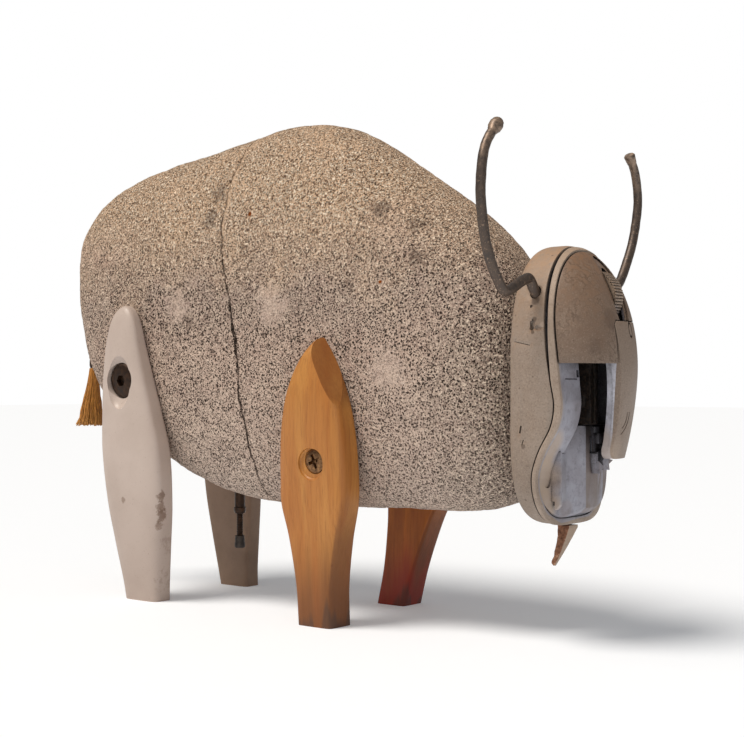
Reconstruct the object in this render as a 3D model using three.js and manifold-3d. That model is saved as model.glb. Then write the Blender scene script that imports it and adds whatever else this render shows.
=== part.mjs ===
// A small bull put together from found things: a worn block of foamed stone for the body, two shaped
// wooden legs in front, two moulded plastic legs behind, a plastic hand-held case for the head, bent
// metal rods for the horns and a brush for the tail.
// Millimetres, +X is forward, +Y is the bull's left, +Z is up. The four soles stand on the ground.
import * as THREE from "three";
import { mergeVertices } from "three/addons/utils/BufferGeometryUtils.js";
import Module from "manifold-3d";

const wasm = await Module();
wasm.setup();

// Driving dimensions
const gap = 0.3; // between pieces that touch
const stoneHalfWidth = 38.5;
const stoneUndersideZ = 53;
const humpZ = 243.5;
const rumpX = -190.5;
const chestX = 106.5;
const crackWidth = 1.3;
const crackDepth = 2.4;
const legLean = 0.0705; // sideways run of a leg for each millimetre of height
const legFootInnerY = 28.6;
const soleZ = 1.5; // the legs are sawn off here, above the drawing's own zero
const screwHeadDiameter = 11;
const screwShankDiameter = 5;
const screwIntoStone = 24;
const boltHeadDiameter = 18;
const boltShankDiameter = 6;
const bellyBoltX = -82;
const bellyBoltLowZ = 27.5;
const tailDrop = 34;
const tailSpread = 14.5;
const hornRodDiameter = 4.5;
const hornTipZ = 219;
const caseWidth = 60;
const caseCentreY = -5;
const caseLowZ = 52.8;
const caseTopZ = 172.5;
const caseBaseDepth = 12.4;
const caseCrownHeight = 27.6;
const caseWall = 2;
const palmZ = 120; // the palm end of the case narrows above this
const gripZ = 95; // and the finger end below this
const seamGap = 0.9;
const coverEdgeZ = 121.6;
const panelLowZ = 81;
const panelTopZ = 139.5;
const panelEdgeY = -10;
const panelSlant = 5;
const skirtDepth = 5.3;
const wheelDiameter = 23;
const wheelWidth = 6.4;
const wheelZ = 150;
const wheelU = 23.5; // depth of the wheel's axle in front of the case's base
const spikeTipZ = 34;

// A standing value for each material
const finish = (color, roughness, metalness = 0) =>
  new THREE.MeshStandardMaterial({ color, roughness, metalness });
const materials = {
  stone: finish(0xa38a79, 0.95),
  paleWood: finish(0xb9834f, 0.6),
  redWood: finish(0x6d3d1c, 0.6),
  whitePlastic: finish(0xc3b0a2, 0.45),
  greyPlastic: finish(0x6d5749, 0.55),
  caseBeige: finish(0x95836f, 0.55),
  caseGrey: finish(0x81797c, 0.5),
  darkPlastic: finish(0x1c1614, 0.6),
  screw: finish(0x866242, 0.4, 0.8),
  bronze: finish(0x463223, 0.45, 0.7),
  horn: finish(0x4a4038, 0.4, 0.8),
  rust: finish(0x644d3c, 0.8, 0.5),
  bristle: finish(0x6d3d0e, 0.8),
};

const bull = new THREE.Group();
bull.name = "bull";

// Turns stacked closed rings of equal length into one closed surface that faces outwards.
function closedLoft(rings) {
  const sides = rings[0].length;
  const positions = [];
  const index = [];
  for (const ring of rings) {
    for (const point of ring) positions.push(point.x, point.y, point.z);
  }
  for (let k = 0; k + 1 < rings.length; k++) {
    for (let i = 0; i < sides; i++) {
      const a = k * sides + i;
      const b = k * sides + ((i + 1) % sides);
      index.push(a, b, b + sides, a, b + sides, a + sides);
    }
  }
  for (const [ring, first, flip] of [
    [rings[0], 0, true],
    [rings[rings.length - 1], (rings.length - 1) * sides, false],
  ]) {
    const middle = new THREE.Vector3();
    for (const point of ring) middle.addScaledVector(point, 1 / sides);
    const centre = positions.length / 3;
    positions.push(middle.x, middle.y, middle.z);
    for (let i = 0; i < sides; i++) {
      const a = first + i;
      const b = first + ((i + 1) % sides);
      index.push(centre, flip ? b : a, flip ? a : b);
    }
  }
  const geometry = new THREE.BufferGeometry();
  geometry.setAttribute("position", new THREE.Float32BufferAttribute(positions, 3));
  geometry.setIndex(index);
  return facingOut(geometry);
}

function signedVolume(geometry) {
  const p = geometry.getAttribute("position");
  const index = geometry.getIndex();
  const [a, b, c] = [new THREE.Vector3(), new THREE.Vector3(), new THREE.Vector3()];
  let volume = 0;
  for (let i = 0; i < index.count; i += 3) {
    a.fromBufferAttribute(p, index.getX(i));
    b.fromBufferAttribute(p, index.getX(i + 1));
    c.fromBufferAttribute(p, index.getX(i + 2));
    volume += a.dot(b.cross(c)) / 6;
  }
  return volume;
}

function facingOut(geometry) {
  if (signedVolume(geometry) < 0) {
    const index = geometry.getIndex();
    for (let i = 0; i < index.count; i += 3) {
      const kept = index.getX(i + 1);
      index.setX(i + 1, index.getX(i + 2));
      index.setX(i + 2, kept);
    }
  }
  return geometry;
}

// A closed geometry as a solid that can be joined and cut.
function solid(geometry) {
  const bare = geometry.clone();
  for (const name of ["normal", "uv"]) bare.deleteAttribute(name);
  const merged = mergeVertices(bare, 1e-4);
  return new wasm.Manifold(
    new wasm.Mesh({
      numProp: 3,
      vertProperties: new Float32Array(merged.getAttribute("position").array),
      triVerts: new Uint32Array(merged.getIndex().array),
    }),
  );
}

function geometryOf(made) {
  const mesh = made.getMesh();
  const geometry = new THREE.BufferGeometry();
  geometry.setAttribute("position", new THREE.BufferAttribute(mesh.vertProperties, 3));
  geometry.setIndex(new THREE.BufferAttribute(mesh.triVerts, 1));
  return geometry;
}

function addPiece(name, shape, material) {
  const geometry = shape.isBufferGeometry ? shape : geometryOf(shape);
  geometry.computeVertexNormals();
  const mesh = new THREE.Mesh(geometry, material);
  mesh.name = name;
  bull.add(mesh);
  return mesh;
}

const power = (value, exponent) => Math.sign(value) * Math.abs(value) ** exponent;

// Reads a smooth value between stations of [place, value, value, ...].
function between(stations, place, column = 1) {
  const last = stations.length - 1;
  if (place <= stations[0][0]) return stations[0][column];
  if (place >= stations[last][0]) return stations[last][column];
  const k = stations.findIndex((station) => station[0] > place) - 1;
  const at = (i) => stations[Math.min(Math.max(i, 0), last)];
  const [p0, p1, p2, p3] = [at(k - 1), at(k), at(k + 1), at(k + 2)];
  const span = p2[0] - p1[0];
  const t = (place - p1[0]) / span;
  const slope = (a, b) => (b[0] === a[0] ? 0 : ((b[column] - a[column]) / (b[0] - a[0])) * span);
  const [m1, m2] = [slope(p0, p2), slope(p1, p3)];
  return (
    (2 * t ** 3 - 3 * t ** 2 + 1) * p1[column] +
    (t ** 3 - 2 * t ** 2 + t) * m1 +
    (3 * t ** 2 - 2 * t ** 3) * p2[column] +
    (t ** 3 - t ** 2) * m2
  );
}

function block(x0, x1, y0, y1, z0, z1) {
  const box = new THREE.BoxGeometry(x1 - x0, y1 - y0, z1 - z0);
  return solid(box.translate((x0 + x1) / 2, (y0 + y1) / 2, (z0 + z1) / 2));
}

// Extrudes a drawing made in X (across) and Z (up) along Y, from y0 to y1.
function alongY(shape, y0, y1, curveSegments = 8) {
  const options = { depth: y1 - y0, bevelEnabled: false, curveSegments };
  const axes = new THREE.Matrix4().makeBasis(
    new THREE.Vector3(1, 0, 0),
    new THREE.Vector3(0, 0, 1),
    new THREE.Vector3(0, -1, 0),
  );
  return solid(new THREE.ExtrudeGeometry(shape, options).applyMatrix4(axes).translate(0, y1, 0));
}

// Extrudes a drawing made in Y (across) and Z (up) along X, from x0 to x1.
function alongX(shape, x0, x1, curveSegments = 8) {
  const options = { depth: x1 - x0, bevelEnabled: false, curveSegments };
  const axes = new THREE.Matrix4().makeBasis(
    new THREE.Vector3(0, 1, 0),
    new THREE.Vector3(0, 0, 1),
    new THREE.Vector3(1, 0, 0),
  );
  return solid(new THREE.ExtrudeGeometry(shape, options).applyMatrix4(axes).translate(x0, 0, 0));
}

// Turns a profile of [radius, height] pairs, which starts and ends on the axis, about an axis.
function turned(profile, from, direction, sides = 16) {
  const points = profile.map(([radius, height]) => new THREE.Vector2(radius, height));
  const turn = new THREE.Quaternion().setFromUnitVectors(
    new THREE.Vector3(0, 1, 0),
    direction.clone().normalize(),
  );
  const lathe = mergeVertices(new THREE.LatheGeometry(points, sides), 1e-4);
  lathe.applyQuaternion(turn).translate(from.x, from.y, from.z);
  return solid(facingOut(lathe));
}

// The stone: a side outline whose inner copies swell out to both flanks.
// Stations run round the outline from the chest over the hump, the rump and the belly: each is
// [X, Z, roundness of the edge there], where 2 is a round edge and 5 a nearly square one.
const chestZ = 112;
const stoneOutline = [
  [chestX, chestZ, 3.2],
  [chestX, chestZ + 24, 3.0],
  [chestX - 4, chestZ + 40, 2.8],
  [chestX - 16, chestZ + 60, 2.6],
  [chestX - 38, humpZ - 50, 2.5],
  [chestX - 66, humpZ - 31, 2.4],
  [chestX - 95, humpZ - 11, 2.4],
  [-12, humpZ - 1.5, 2.4],
  [-44, humpZ, 2.4],
  [-72, humpZ - 4.5, 2.4],
  [rumpX + 82, humpZ - 10, 2.5],
  [rumpX + 52, humpZ - 14.5, 2.6],
  [rumpX + 27, humpZ - 22, 2.8],
  [rumpX + 9, humpZ - 34, 3.0],
  [rumpX, humpZ - 52, 3.4],
  [rumpX + 2, humpZ - 78, 3.6],
  [rumpX + 12, stoneUndersideZ + 68, 3.6],
  [rumpX + 36, stoneUndersideZ + 40, 3.8],
  [rumpX + 72, stoneUndersideZ + 20, 4.2],
  [rumpX + 107, stoneUndersideZ + 6, 4.5],
  [-48, stoneUndersideZ, 4.5],
  [0, stoneUndersideZ, 4.5],
  [chestX - 62, stoneUndersideZ + 2, 4.5],
  [chestX - 30, stoneUndersideZ + 2, 4.2],
  [chestX - 8, stoneUndersideZ + 9, 3.8],
  [chestX - 0.5, stoneUndersideZ + 28, 3.4],
];
const stoneSides = 36;
const stoneSpineZ = 138;
const stoneSpineFrom = rumpX + 78;
const stoneSpineTo = chestX - 62;

// The flanks are widest above the middle and draw in towards the belly and the rump.
function flankHalfWidth(x, z) {
  const belly = THREE.MathUtils.smoothstep(z, stoneUndersideZ, stoneSpineZ);
  const rump = THREE.MathUtils.smoothstep(x, rumpX, rumpX + 90);
  return stoneHalfWidth * (0.86 + 0.14 * belly) * (0.93 + 0.07 * rump);
}

function stoneForm(inset = 0) {
  const loop = new THREE.CatmullRomCurve3(
    stoneOutline.map(([x, z, roundness]) => new THREE.Vector3(x, z, roundness * 10)),
    true,
    "centripetal",
  );
  const outline = loop.getSpacedPoints(stoneSides).slice(0, -1);
  const steps = [8, 26, 44, 63, 81, 99, 117, 136, 154, 172];
  const rings = steps.map((degrees) => {
    const angle = THREE.MathUtils.degToRad(degrees);
    return outline.map((station) => {
      const share = 2 / (station.z / 10);
      const out = Math.sin(angle) ** share;
      const across = power(Math.cos(angle), share);
      const spineX = THREE.MathUtils.clamp(station.x * 0.9, stoneSpineFrom, stoneSpineTo);
      const run = new THREE.Vector2(station.x - spineX, station.y - stoneSpineZ);
      run.multiplyScalar((out * (run.length() - inset)) / run.length());
      const x = spineX + run.x;
      const z = stoneSpineZ + run.y;
      return new THREE.Vector3(x, -across * (flankHalfWidth(x, z) - inset), z);
    });
  });
  return solid(closedLoft(rings));
}

// The old break runs down the body behind the front legs and round under the belly.
const crackLine = [
  [-68, humpZ + 12],
  [-67, 229],
  [-66, 206],
  [-62, 180],
  [-57, 152],
  [-50, 120],
  [-44, 86],
  [-41, 62],
  [-36, stoneUndersideZ - 12],
];

function crackSlab() {
  const line = new THREE.CatmullRomCurve3(crackLine.map(([x, z]) => new THREE.Vector3(x, 0, z)));
  const points = line.getSpacedPoints(6);
  const shape = new THREE.Shape();
  const edge = (side) => points.map((p) => new THREE.Vector2(p.x + (side * crackWidth) / 2, p.z));
  shape.setFromPoints([...edge(-1), ...edge(1).reverse()]);
  const reach = stoneHalfWidth + 10;
  return alongY(shape, -reach, reach);
}

// Legs. A leg is flat towards the stone and swells outwards; its stations run up from the sole:
// [Z, centre X, half width, thickness, roundness of the outer edges].
const woodLeg = [
  [0, 0, 10, 16, 9],
  [20, 0, 10.8, 15.6, 9],
  [42, 0, 14.6, 15, 9],
  [57, 0, 18.6, 15, 8],
  [66, 0, 19.6, 15, 5],
  [78, 0, 19.6, 15, 4],
  [92, 0, 18.6, 14.8, 3.6],
  [106, 0, 16, 14, 3.2],
  [118, 0, 11.6, 12, 3],
  [127, 0.5, 6.6, 9.5, 2.8],
  [133, 1, 2.6, 6, 2.6],
  [134.5, 1, 0.8, 4, 2.6],
];
const plasticLeg = [
  [0, 0, 11.6, 11.6, 5],
  [10, -0.6, 13.2, 12, 3.6],
  [31, -1.6, 17, 13, 3],
  [52, -2.4, 20.4, 13.4, 3],
  [78, -3.4, 21.6, 13.4, 3],
  [98, -5.2, 18.8, 12.6, 3],
  [115, -7, 15.8, 11.4, 3],
  [133, -8.4, 12.2, 9.8, 2.8],
  [143, -8.4, 9.6, 8.4, 2.6],
  [149, -8.2, 6.8, 7, 2.5],
  [152.6, -8, 3.4, 5, 2.4],
  [153.6, -8, 0.9, 3.4, 2.4],
];

const frontLegX = 7.8;
const rearLegX = -115;
const legs = {
  front_right: { look: "paleWood", side: -1, x: frontLegX, sweep: 0, width: 1, height: 1 },
  front_left: { look: "redWood", side: 1, x: frontLegX - 13, sweep: 0.2, width: 0.88, height: 1 },
  rear_right: { look: "whitePlastic", side: -1, x: rearLegX, sweep: 0, width: 1, height: 1 },
  rear_left: { look: "greyPlastic", side: 1, x: rearLegX, sweep: -0.12, width: 0.86, height: 0.98 },
};
for (const leg of Object.values(legs)) {
  leg.wooden = leg.look.endsWith("Wood");
  leg.table = leg.wooden ? woodLeg : plasticLeg;
}

const legInnerY = (z) => legFootInnerY + legLean * z;
const legCentreX = (leg, z) => leg.x + leg.sweep * z + between(leg.table, z / leg.height, 1);
const legThickness = (leg, z) => between(leg.table, z / leg.height, 3);
const legFaceY = (leg, z) => leg.side * (legInnerY(z) + legThickness(leg, z));

// grow widens the leg all round, for the flat seat that it takes in the stone.
function legForm(leg, grow = 0) {
  const levels = [20, 40, 56, 68, 82, 98, 112, 124, 131];
  const top = leg.table[leg.table.length - 1][0];
  const scale = top / woodLeg[woodLeg.length - 1][0];
  const heights = [soleZ / leg.height, ...levels.map((z) => z * scale), top];
  const sides = 12;
  const rings = heights.map((tableZ) => {
    const z = tableZ * leg.height;
    const half = between(leg.table, tableZ, 2) * leg.width + grow;
    const thick = between(leg.table, tableZ, 3);
    const outerRound = 2 / between(leg.table, tableZ, 4);
    return Array.from({ length: sides }, (_, i) => {
      const angle = (2 * Math.PI * (i + 0.5)) / sides;
      const share = Math.sin(angle) < 0 ? 2 / 9 : outerRound;
      const x = legCentreX(leg, z) + half * power(Math.cos(angle), share);
      const out = (thick / 2) * (1 + power(Math.sin(angle), share));
      return new THREE.Vector3(x, leg.side * (legInnerY(z) - grow + out), z);
    });
  });
  return solid(closedLoft(rings));
}

// The top of the wooden leg is whittled back on its front edge, so that it ends in a chisel point.
function whittled(form, leg) {
  const z = 126;
  const apex = new THREE.Vector3(legCentreX(leg, z) + 1.6, legFaceY(leg, z), z);
  const topZ = leg.table[leg.table.length - 1][0];
  const tip = new THREE.Vector3(apex.x - 0.5, leg.side * (legInnerY(topZ) + 1), topZ + 0.1);
  const shoulder = new THREE.Vector3(legCentreX(leg, 92) + 17, leg.side * (legInnerY(92) + 8), 92);
  const normal = tip.clone().sub(apex).cross(shoulder.clone().sub(apex)).normalize();
  const middle = new THREE.Vector3(legCentreX(leg, 70), leg.side * legInnerY(70), 70);
  if (middle.sub(apex).dot(normal) < 0) normal.negate();
  return form.trimByPlane(normal.toArray(), apex.dot(normal));
}

// The axis of a fastener stands square on a leg's outer face.
function outwardFrom(leg) {
  return new THREE.Vector3(0, leg.side, -legLean).normalize();
}

// A countersunk wood screw with a cross recess. clear widens it into its own hole.
function screwForm(from, axis, clear = 0) {
  const head = screwHeadDiameter / 2 + clear;
  const shank = screwShankDiameter / 2 + clear;
  const cone = head - shank;
  const length = screwIntoStone + 14;
  const lift = clear ? 4 : 0.4;
  return turned(
    [
      [0, -length],
      [shank * 0.35, -length],
      [shank, -length + 6],
      [shank, -cone - 0.6],
      [head, -0.6],
      [head, clear ? lift : -0.1],
      [head * 0.6, lift],
      [0, lift],
    ],
    from,
    axis,
    12,
  );
}

function crossRecess(from, axis) {
  const arm = screwHeadDiameter * 0.62;
  const turn = new THREE.Quaternion().setFromUnitVectors(new THREE.Vector3(0, 1, 0), axis);
  const bars = [0, 90].map((degrees) => {
    const bar = new THREE.BoxGeometry(arm, 3.6, arm * 0.24);
    bar.rotateY(THREE.MathUtils.degToRad(degrees + 20));
    return solid(bar.applyQuaternion(turn).translate(from.x, from.y, from.z));
  });
  return bars[0].add(bars[1]);
}

// A furniture bolt: a broad low head with a six-sided socket. clear widens it into its hole.
function boltForm(from, axis, clear = 0) {
  const head = boltHeadDiameter / 2 + clear;
  const shank = boltShankDiameter / 2 + clear;
  const rise = clear ? 6 : 1.1;
  return turned(
    [
      [0, -screwIntoStone - 8],
      [shank, -screwIntoStone - 7],
      [shank, -1.6],
      [head - 0.8, -1.6],
      [head, -0.9],
      [head, clear ? rise : -0.2],
      [head * 0.72, rise * 0.9],
      [0, rise],
    ],
    from,
    axis,
    12,
  );
}

function hexSocket(from, axis) {
  return turned([[0, -1.1], [3.1, -1.1], [3.1, 4], [0, 4]], from, axis, 6);
}

// The shallow round dish that a bolt's head sinks into.
function dish(from, axis, wide, tall, deep) {
  const ball = new THREE.SphereGeometry(1, 12, 8).scale(wide / 2, tall / 2, deep);
  const turn = new THREE.Quaternion().setFromUnitVectors(new THREE.Vector3(0, 0, 1), axis);
  return solid(ball.applyQuaternion(turn).translate(from.x, from.y, from.z));
}

const screwZ = 77.7;
const rearBoltZ = 114.7;
const holes = [];
const seats = [];

for (const [place, leg] of Object.entries(legs)) {
  const z = leg.wooden ? screwZ : rearBoltZ * leg.height;
  const axis = outwardFrom(leg);
  const sink = leg.wooden ? 1.4 : 2.6;
  const offset = leg.wooden ? 3.4 : 0;
  const face = new THREE.Vector3(legCentreX(leg, z) + offset, legFaceY(leg, z), z);
  const seat = face.clone().addScaledVector(axis, -sink);
  let form = legForm(leg);
  if (leg.wooden) {
    form = whittled(form, leg);
    const pocket = seat.clone().add(new THREE.Vector3(-1.4, 0, -1.2)).addScaledVector(axis, -0.2);
    const width = screwHeadDiameter + 3;
    form = form.subtract(turned([[0, 0], [width / 2, 0], [width / 2 + 1, 6], [0, 6]], pocket, axis, 12));
    form = form.subtract(screwForm(seat, axis, gap));
    const screw = screwForm(seat, axis).subtract(crossRecess(seat, axis));
    addPiece(`${place}_screw`, screw, materials.screw);
    holes.push(screwForm(seat, axis, gap));
  } else {
    form = form.subtract(dish(face, axis, boltHeadDiameter * 1.06, boltHeadDiameter * 1.5, 3.6));
    form = form.subtract(boltForm(seat, axis, gap));
    const bolt = boltForm(seat, axis).subtract(hexSocket(seat, axis));
    addPiece(`${place}_bolt`, bolt, materials.bronze);
    holes.push(boltForm(seat, axis, gap));
  }
  seats.push(legForm(leg, gap));
  addPiece(`${place}_leg`, form, materials[leg.look]);
}

// The bolt that hangs from the belly, with a worn rubber sleeve on its end.
const down = new THREE.Vector3(0, 0, -1);
const bellyRoot = new THREE.Vector3(bellyBoltX, 0, stoneUndersideZ + 20);
const bellyLength = bellyRoot.z - bellyBoltLowZ;
const bellyShank = 1.7;
const sleeveLength = 6.3;

function bellyBolt(clear = 0) {
  const r = bellyShank + clear;
  const collar = bellyRoot.z - 48.6;
  return turned(
    [
      [0, 0],
      [2.7 + clear, 0],
      [2.7 + clear, collar],
      [3.2, collar],
      [3.2, collar + 1.8],
      [2.5, collar + 3.1],
      [r, collar + 3.1],
      [r, bellyLength - 1.2],
      [0, bellyLength - 1.2],
    ],
    bellyRoot,
    down,
    12,
  );
}
addPiece("belly_bolt", bellyBolt(), materials.bronze);
const sleeveInner = bellyShank + gap;
const sleeveTop = bellyLength - sleeveLength;
addPiece(
  "belly_bolt_sleeve",
  turned(
    [
      [0, bellyLength - 1.2 + gap],
      [sleeveInner, bellyLength - 1.2 + gap],
      [sleeveInner, sleeveTop],
      [sleeveInner + 0.5, sleeveTop],
      [sleeveInner + 0.7, bellyLength - 1],
      [sleeveInner, bellyLength],
      [0, bellyLength],
    ],
    bellyRoot,
    down,
    12,
  ),
  materials.darkPlastic,
);
holes.push(bellyBolt(gap));

// The tail: a peg in the rump, a crimped ferrule and a flat brush of bristles.
const tailY = -3;
const tailPegZ = 124.5;
const tailX = rumpX - 4.5;
const pegRadius = 1.3;
const ferruleLowZ = tailPegZ - 2.4;

function tailPeg(clear = 0) {
  const r = pegRadius + clear;
  const from = new THREE.Vector3(tailX + 1.6, tailY, tailPegZ);
  return turned([[0, 0], [r, 0], [r, 30], [0, 30]], from, new THREE.Vector3(1, 0, 0), 10);
}
addPiece("tail_peg", tailPeg(), materials.whitePlastic);
holes.push(tailPeg(gap));

function ovalStack(x, y, levels) {
  return closedLoft(
    levels.map(([z, halfX, halfY, shift = 0]) =>
      Array.from({ length: 12 }, (_, i) => {
        const angle = (2 * Math.PI * i) / 12;
        return new THREE.Vector3(x + shift + halfX * Math.cos(angle), y + halfY * Math.sin(angle), z);
      }),
    ),
  );
}
const ferrule = solid(
  ovalStack(tailX, tailY, [
    [ferruleLowZ, 2.4, 2.6],
    [tailPegZ + 2, 2.6, 2.6],
    [tailPegZ + 7, 1.6, 1.4],
    [tailPegZ + 9.5, 1, 0.9],
  ]),
);
addPiece("tail_ferrule", ferrule.subtract(tailPeg(gap)), materials.bronze);
const tuftTop = ferruleLowZ - gap;
addPiece(
  "tail_bristles",
  ovalStack(tailX, tailY, [
    [tuftTop, 2.5, 2.7],
    [tuftTop - 8, 3.6, 3.4, -0.6],
    [tuftTop - 20, 5.4, 4.6, -2],
    [tuftTop - tailDrop, tailSpread / 2, 5.6, -3.6],
  ]),
  materials.bristle,
);

// The head's case, standing on end with its base against the chest. Its depth is counted forward
// from the base in u, and its widest line lies at u = caseMidU.
const caseBaseX = chestX + gap;
const caseMidU = caseBaseDepth - 0.4;
const caseMidZ = (caseTopZ + caseLowZ) / 2;
const caseHalfHeight = (caseTopZ - caseLowZ) / 2;

// What is left of a rounded end at a share of the way to its tip; a higher bend is squarer.
const rounded = (share, bend) => (1 - share ** bend) ** (1 / bend);

// The far lower corner is a little squarer than the near one.
function caseHalfWidth(z, far) {
  if (z > palmZ) return (caseWidth / 2) * rounded((z - palmZ) / (caseTopZ - palmZ), 2.25);
  if (z < gripZ) return (caseWidth / 2) * rounded((gripZ - z) / (gripZ - caseLowZ), far ? 3.7 : 2.9);
  return caseWidth / 2;
}

function caseCrown(z) {
  if (z > palmZ) return caseCrownHeight * rounded((z - palmZ) / (caseTopZ - palmZ), 1.95);
  return caseCrownHeight * rounded((palmZ - z) / (palmZ - caseLowZ), 1.65);
}

function caseBase(z) {
  return caseBaseDepth * rounded(Math.abs(z - caseMidZ) / caseHalfHeight, 5);
}

function caseForm(inset = 0, levels = 12, sides = 20) {
  const height = caseTopZ - caseLowZ;
  const shrink = (size) => (size - inset) / size;
  const rings = Array.from({ length: levels }, (_, k) => {
    const share = (1 - Math.cos((Math.PI * (k + 0.45)) / (levels - 0.1))) / 2;
    const z = caseLowZ + share * height;
    const crown = caseCrown(z) * shrink(caseCrownHeight);
    const base = caseBase(z) * shrink(caseBaseDepth);
    return Array.from({ length: sides }, (__, i) => {
      const angle = (2 * Math.PI * (i + 0.5)) / sides;
      const outer = Math.sin(angle) > 0;
      const bend = outer ? 2 / 2.5 : 2 / 8;
      const across = caseHalfWidth(z, Math.cos(angle) > 0) * shrink(caseWidth / 2);
      const u = caseMidU + (outer ? crown : base) * power(Math.sin(angle), bend);
      const y = caseCentreY + across * power(Math.cos(angle), bend);
      return new THREE.Vector3(caseBaseX + u, y, caseLowZ + inset + share * (height - 2 * inset));
    });
  });
  return solid(closedLoft(rings)).trimByPlane([1, 0, 0], caseBaseX + inset);
}

// The seams on the side of the case, as [Z, u]: the shell's edge, then the outer edge of the band.
const shellSeam = [
  [caseLowZ - 4, 10.6],
  [64, 10.7],
  [70, 11],
  [76, 12],
  [85, 15.6],
  [95, 20.8],
  [104, 22.4],
  [113, 21.2],
  [126, 19.2],
  [139, 17.2],
  [152, 15.9],
  [162, 15.4],
  [caseTopZ + 4, 15.4],
];
const bandWidth = [
  [caseLowZ - 4, 2.3],
  [70, 2.4],
  [85, 2.8],
  [104, 3.1],
  [126, 4.4],
  [caseTopZ + 4, 5],
];
const shellEdge = (z) => between(shellSeam, z);
const bandLow = (z) => shellEdge(z) + seamGap / 2;
const bandHigh = (z) => shellEdge(z) + bandWidthAt(z);
const bandWidthAt = (z) => between(bandWidth, z);
const coverLow = (z) => bandHigh(z) + seamGap / 2;

// Everything between two curves of u over z, right across the case.
function slab(low, high) {
  const steps = 12;
  const heights = Array.from({ length: steps + 1 }, (_, k) => {
    return caseLowZ - 3 + ((caseTopZ - caseLowZ + 6) * k) / steps;
  });
  const edge = (u) => heights.map((z) => new THREE.Vector2(caseBaseX + u(z), z));
  const shape = new THREE.Shape();
  shape.setFromPoints([...edge(low), ...edge(high).reverse()]);
  return alongY(shape, caseCentreY - caseWidth, caseCentreY + caseWidth);
}

// The upright strip between two sides and two ends, from the base out past the crown. Its first
// side slants in towards the low end, where its corner is round.
function stripOfCase(y0, y1, z0, z1, corner) {
  const lowY = y0 + panelSlant;
  const shape = new THREE.Shape();
  shape.moveTo(lowY + corner, z0);
  shape.lineTo(y1, z0);
  shape.lineTo(y1, z1);
  shape.lineTo(y0, z1);
  shape.lineTo(lowY, z0 + corner);
  shape.quadraticCurveTo(lowY, z0, lowY + corner, z0);
  return alongX(shape, caseBaseX - 5, caseBaseX + 60, 5);
}

const outer = caseForm(0);
const cavity = caseForm(caseWall, 11, 18);
const farSide = caseCentreY + caseWidth;
const nearSide = caseCentreY - caseWidth;
const coverBody = slab(coverLow, () => 70);

// Horns: one bent rod on each side, as [distance out from the case's side, share of the rise].
const hornU = 11.7;
const hornX = caseBaseX + hornU;
const hornHoleZ = 151;
const hornRise = hornTipZ - hornHoleZ;
const hornPath = {
  right: [
    [-9, -0.05],
    [-3.5, 0.02],
    [0.6, 0.085],
    [5, 0.07],
    [18.5, -0.005],
    [24.4, 0.068],
    [28.7, 0.157],
    [32.3, 0.265],
    [35, 0.43],
    [36, 0.6],
    [32.9, 0.83],
    [23.2, 1],
  ],
  left: [
    [-7, -0.05],
    [-1, 0],
    [9, 0.06],
    [16.4, 0.125],
    [23.8, 0.275],
    [28.9, 0.41],
    [32.7, 0.58],
    [34, 0.71],
    [31.4, 0.88],
    [25.6, 1],
  ],
};

function hornForm(which, clear = 0) {
  const side = which === "right" ? -1 : 1;
  const points = hornPath[which].map(([out, up]) => {
    const y = caseCentreY + side * (caseWidth / 2 + out);
    return new THREE.Vector3(hornX, y, hornHoleZ + up * hornRise);
  });
  const curve = new THREE.CatmullRomCurve3(points, false, "centripetal");
  const steps = 17;
  const sides = 6;
  const rod = hornRodDiameter / 2;
  const thickness = (t) => {
    const worn = rod * (1 - 0.12 * t);
    if (t > 0.995) return which === "right" ? rod * 1.05 : rod * 1.12;
    if (t > 0.96) return which === "right" ? rod * 1.3 : rod * 1.12;
    return worn;
  };
  const places = [...Array.from({ length: steps }, (_, k) => (0.955 * k) / (steps - 1)), 0.965, 0.99, 1];
  const rings = places.map((t) => {
    const at = curve.getPointAt(t);
    const along = curve.getTangentAt(t);
    const across = new THREE.Vector3(1, 0, 0);
    const other = along.clone().cross(across).normalize();
    return Array.from({ length: sides }, (_, i) => {
      const angle = (2 * Math.PI * (i + 0.5)) / sides;
      const reach = thickness(t) + clear;
      return at
        .clone()
        .addScaledVector(across, reach * Math.cos(angle))
        .addScaledVector(other, reach * Math.sin(angle));
    });
  });
  return solid(closedLoft(rings));
}

addPiece("right_horn", hornForm("right"), materials.horn);
addPiece("left_horn", hornForm("left"), materials.horn);

// The rusty blade under the chin: [Z, ridge X, ridge Y, run back along X, run across along Y].
const spikeTable = [
  [caseLowZ + 7, 119.7, -5, 5.5, 7],
  [caseLowZ - 2, 119.5, -5, 5.5, 7.2],
  [47, 118, -5, 4.4, 6],
  [41, 115.6, -4.8, 3.2, 3.4],
  [spikeTipZ + 1, 112.4, -4.4, 1.8, 1.4],
  [spikeTipZ, 112, -4.4, 1, 0.8],
];

function spikeForm(grow = 0) {
  const rings = spikeTable.map(([z, x, y, back, across]) => [
    new THREE.Vector3(x + grow, y - grow, z + grow),
    new THREE.Vector3(x + grow, y + across + 2 * grow, z + grow),
    new THREE.Vector3(x - back * 0.4 - grow, y + across + 2 * grow, z + grow),
    new THREE.Vector3(x - back - 2 * grow, y - grow, z + grow),
  ]);
  return solid(closedLoft(rings));
}
addPiece("chin_spike", spikeForm(), materials.rust);

// The lower shell of the case, a cup that holds the horns and the blade.
let shell = outer.subtract(cavity).intersect(slab(() => -8, shellEdge));
for (const which of ["right", "left"]) shell = shell.subtract(hornForm(which, gap));
shell = shell.subtract(spikeForm(gap));
addPiece("head_shell", shell, materials.caseBeige);

// The band round the case, between two dark seams.
const bandWall = caseWall * 1.2;
const bandInner = caseForm(bandWall, 11, 18);
let band = outer.subtract(bandInner).intersect(slab(bandLow, bandHigh)).subtract(spikeForm(gap));

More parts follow.
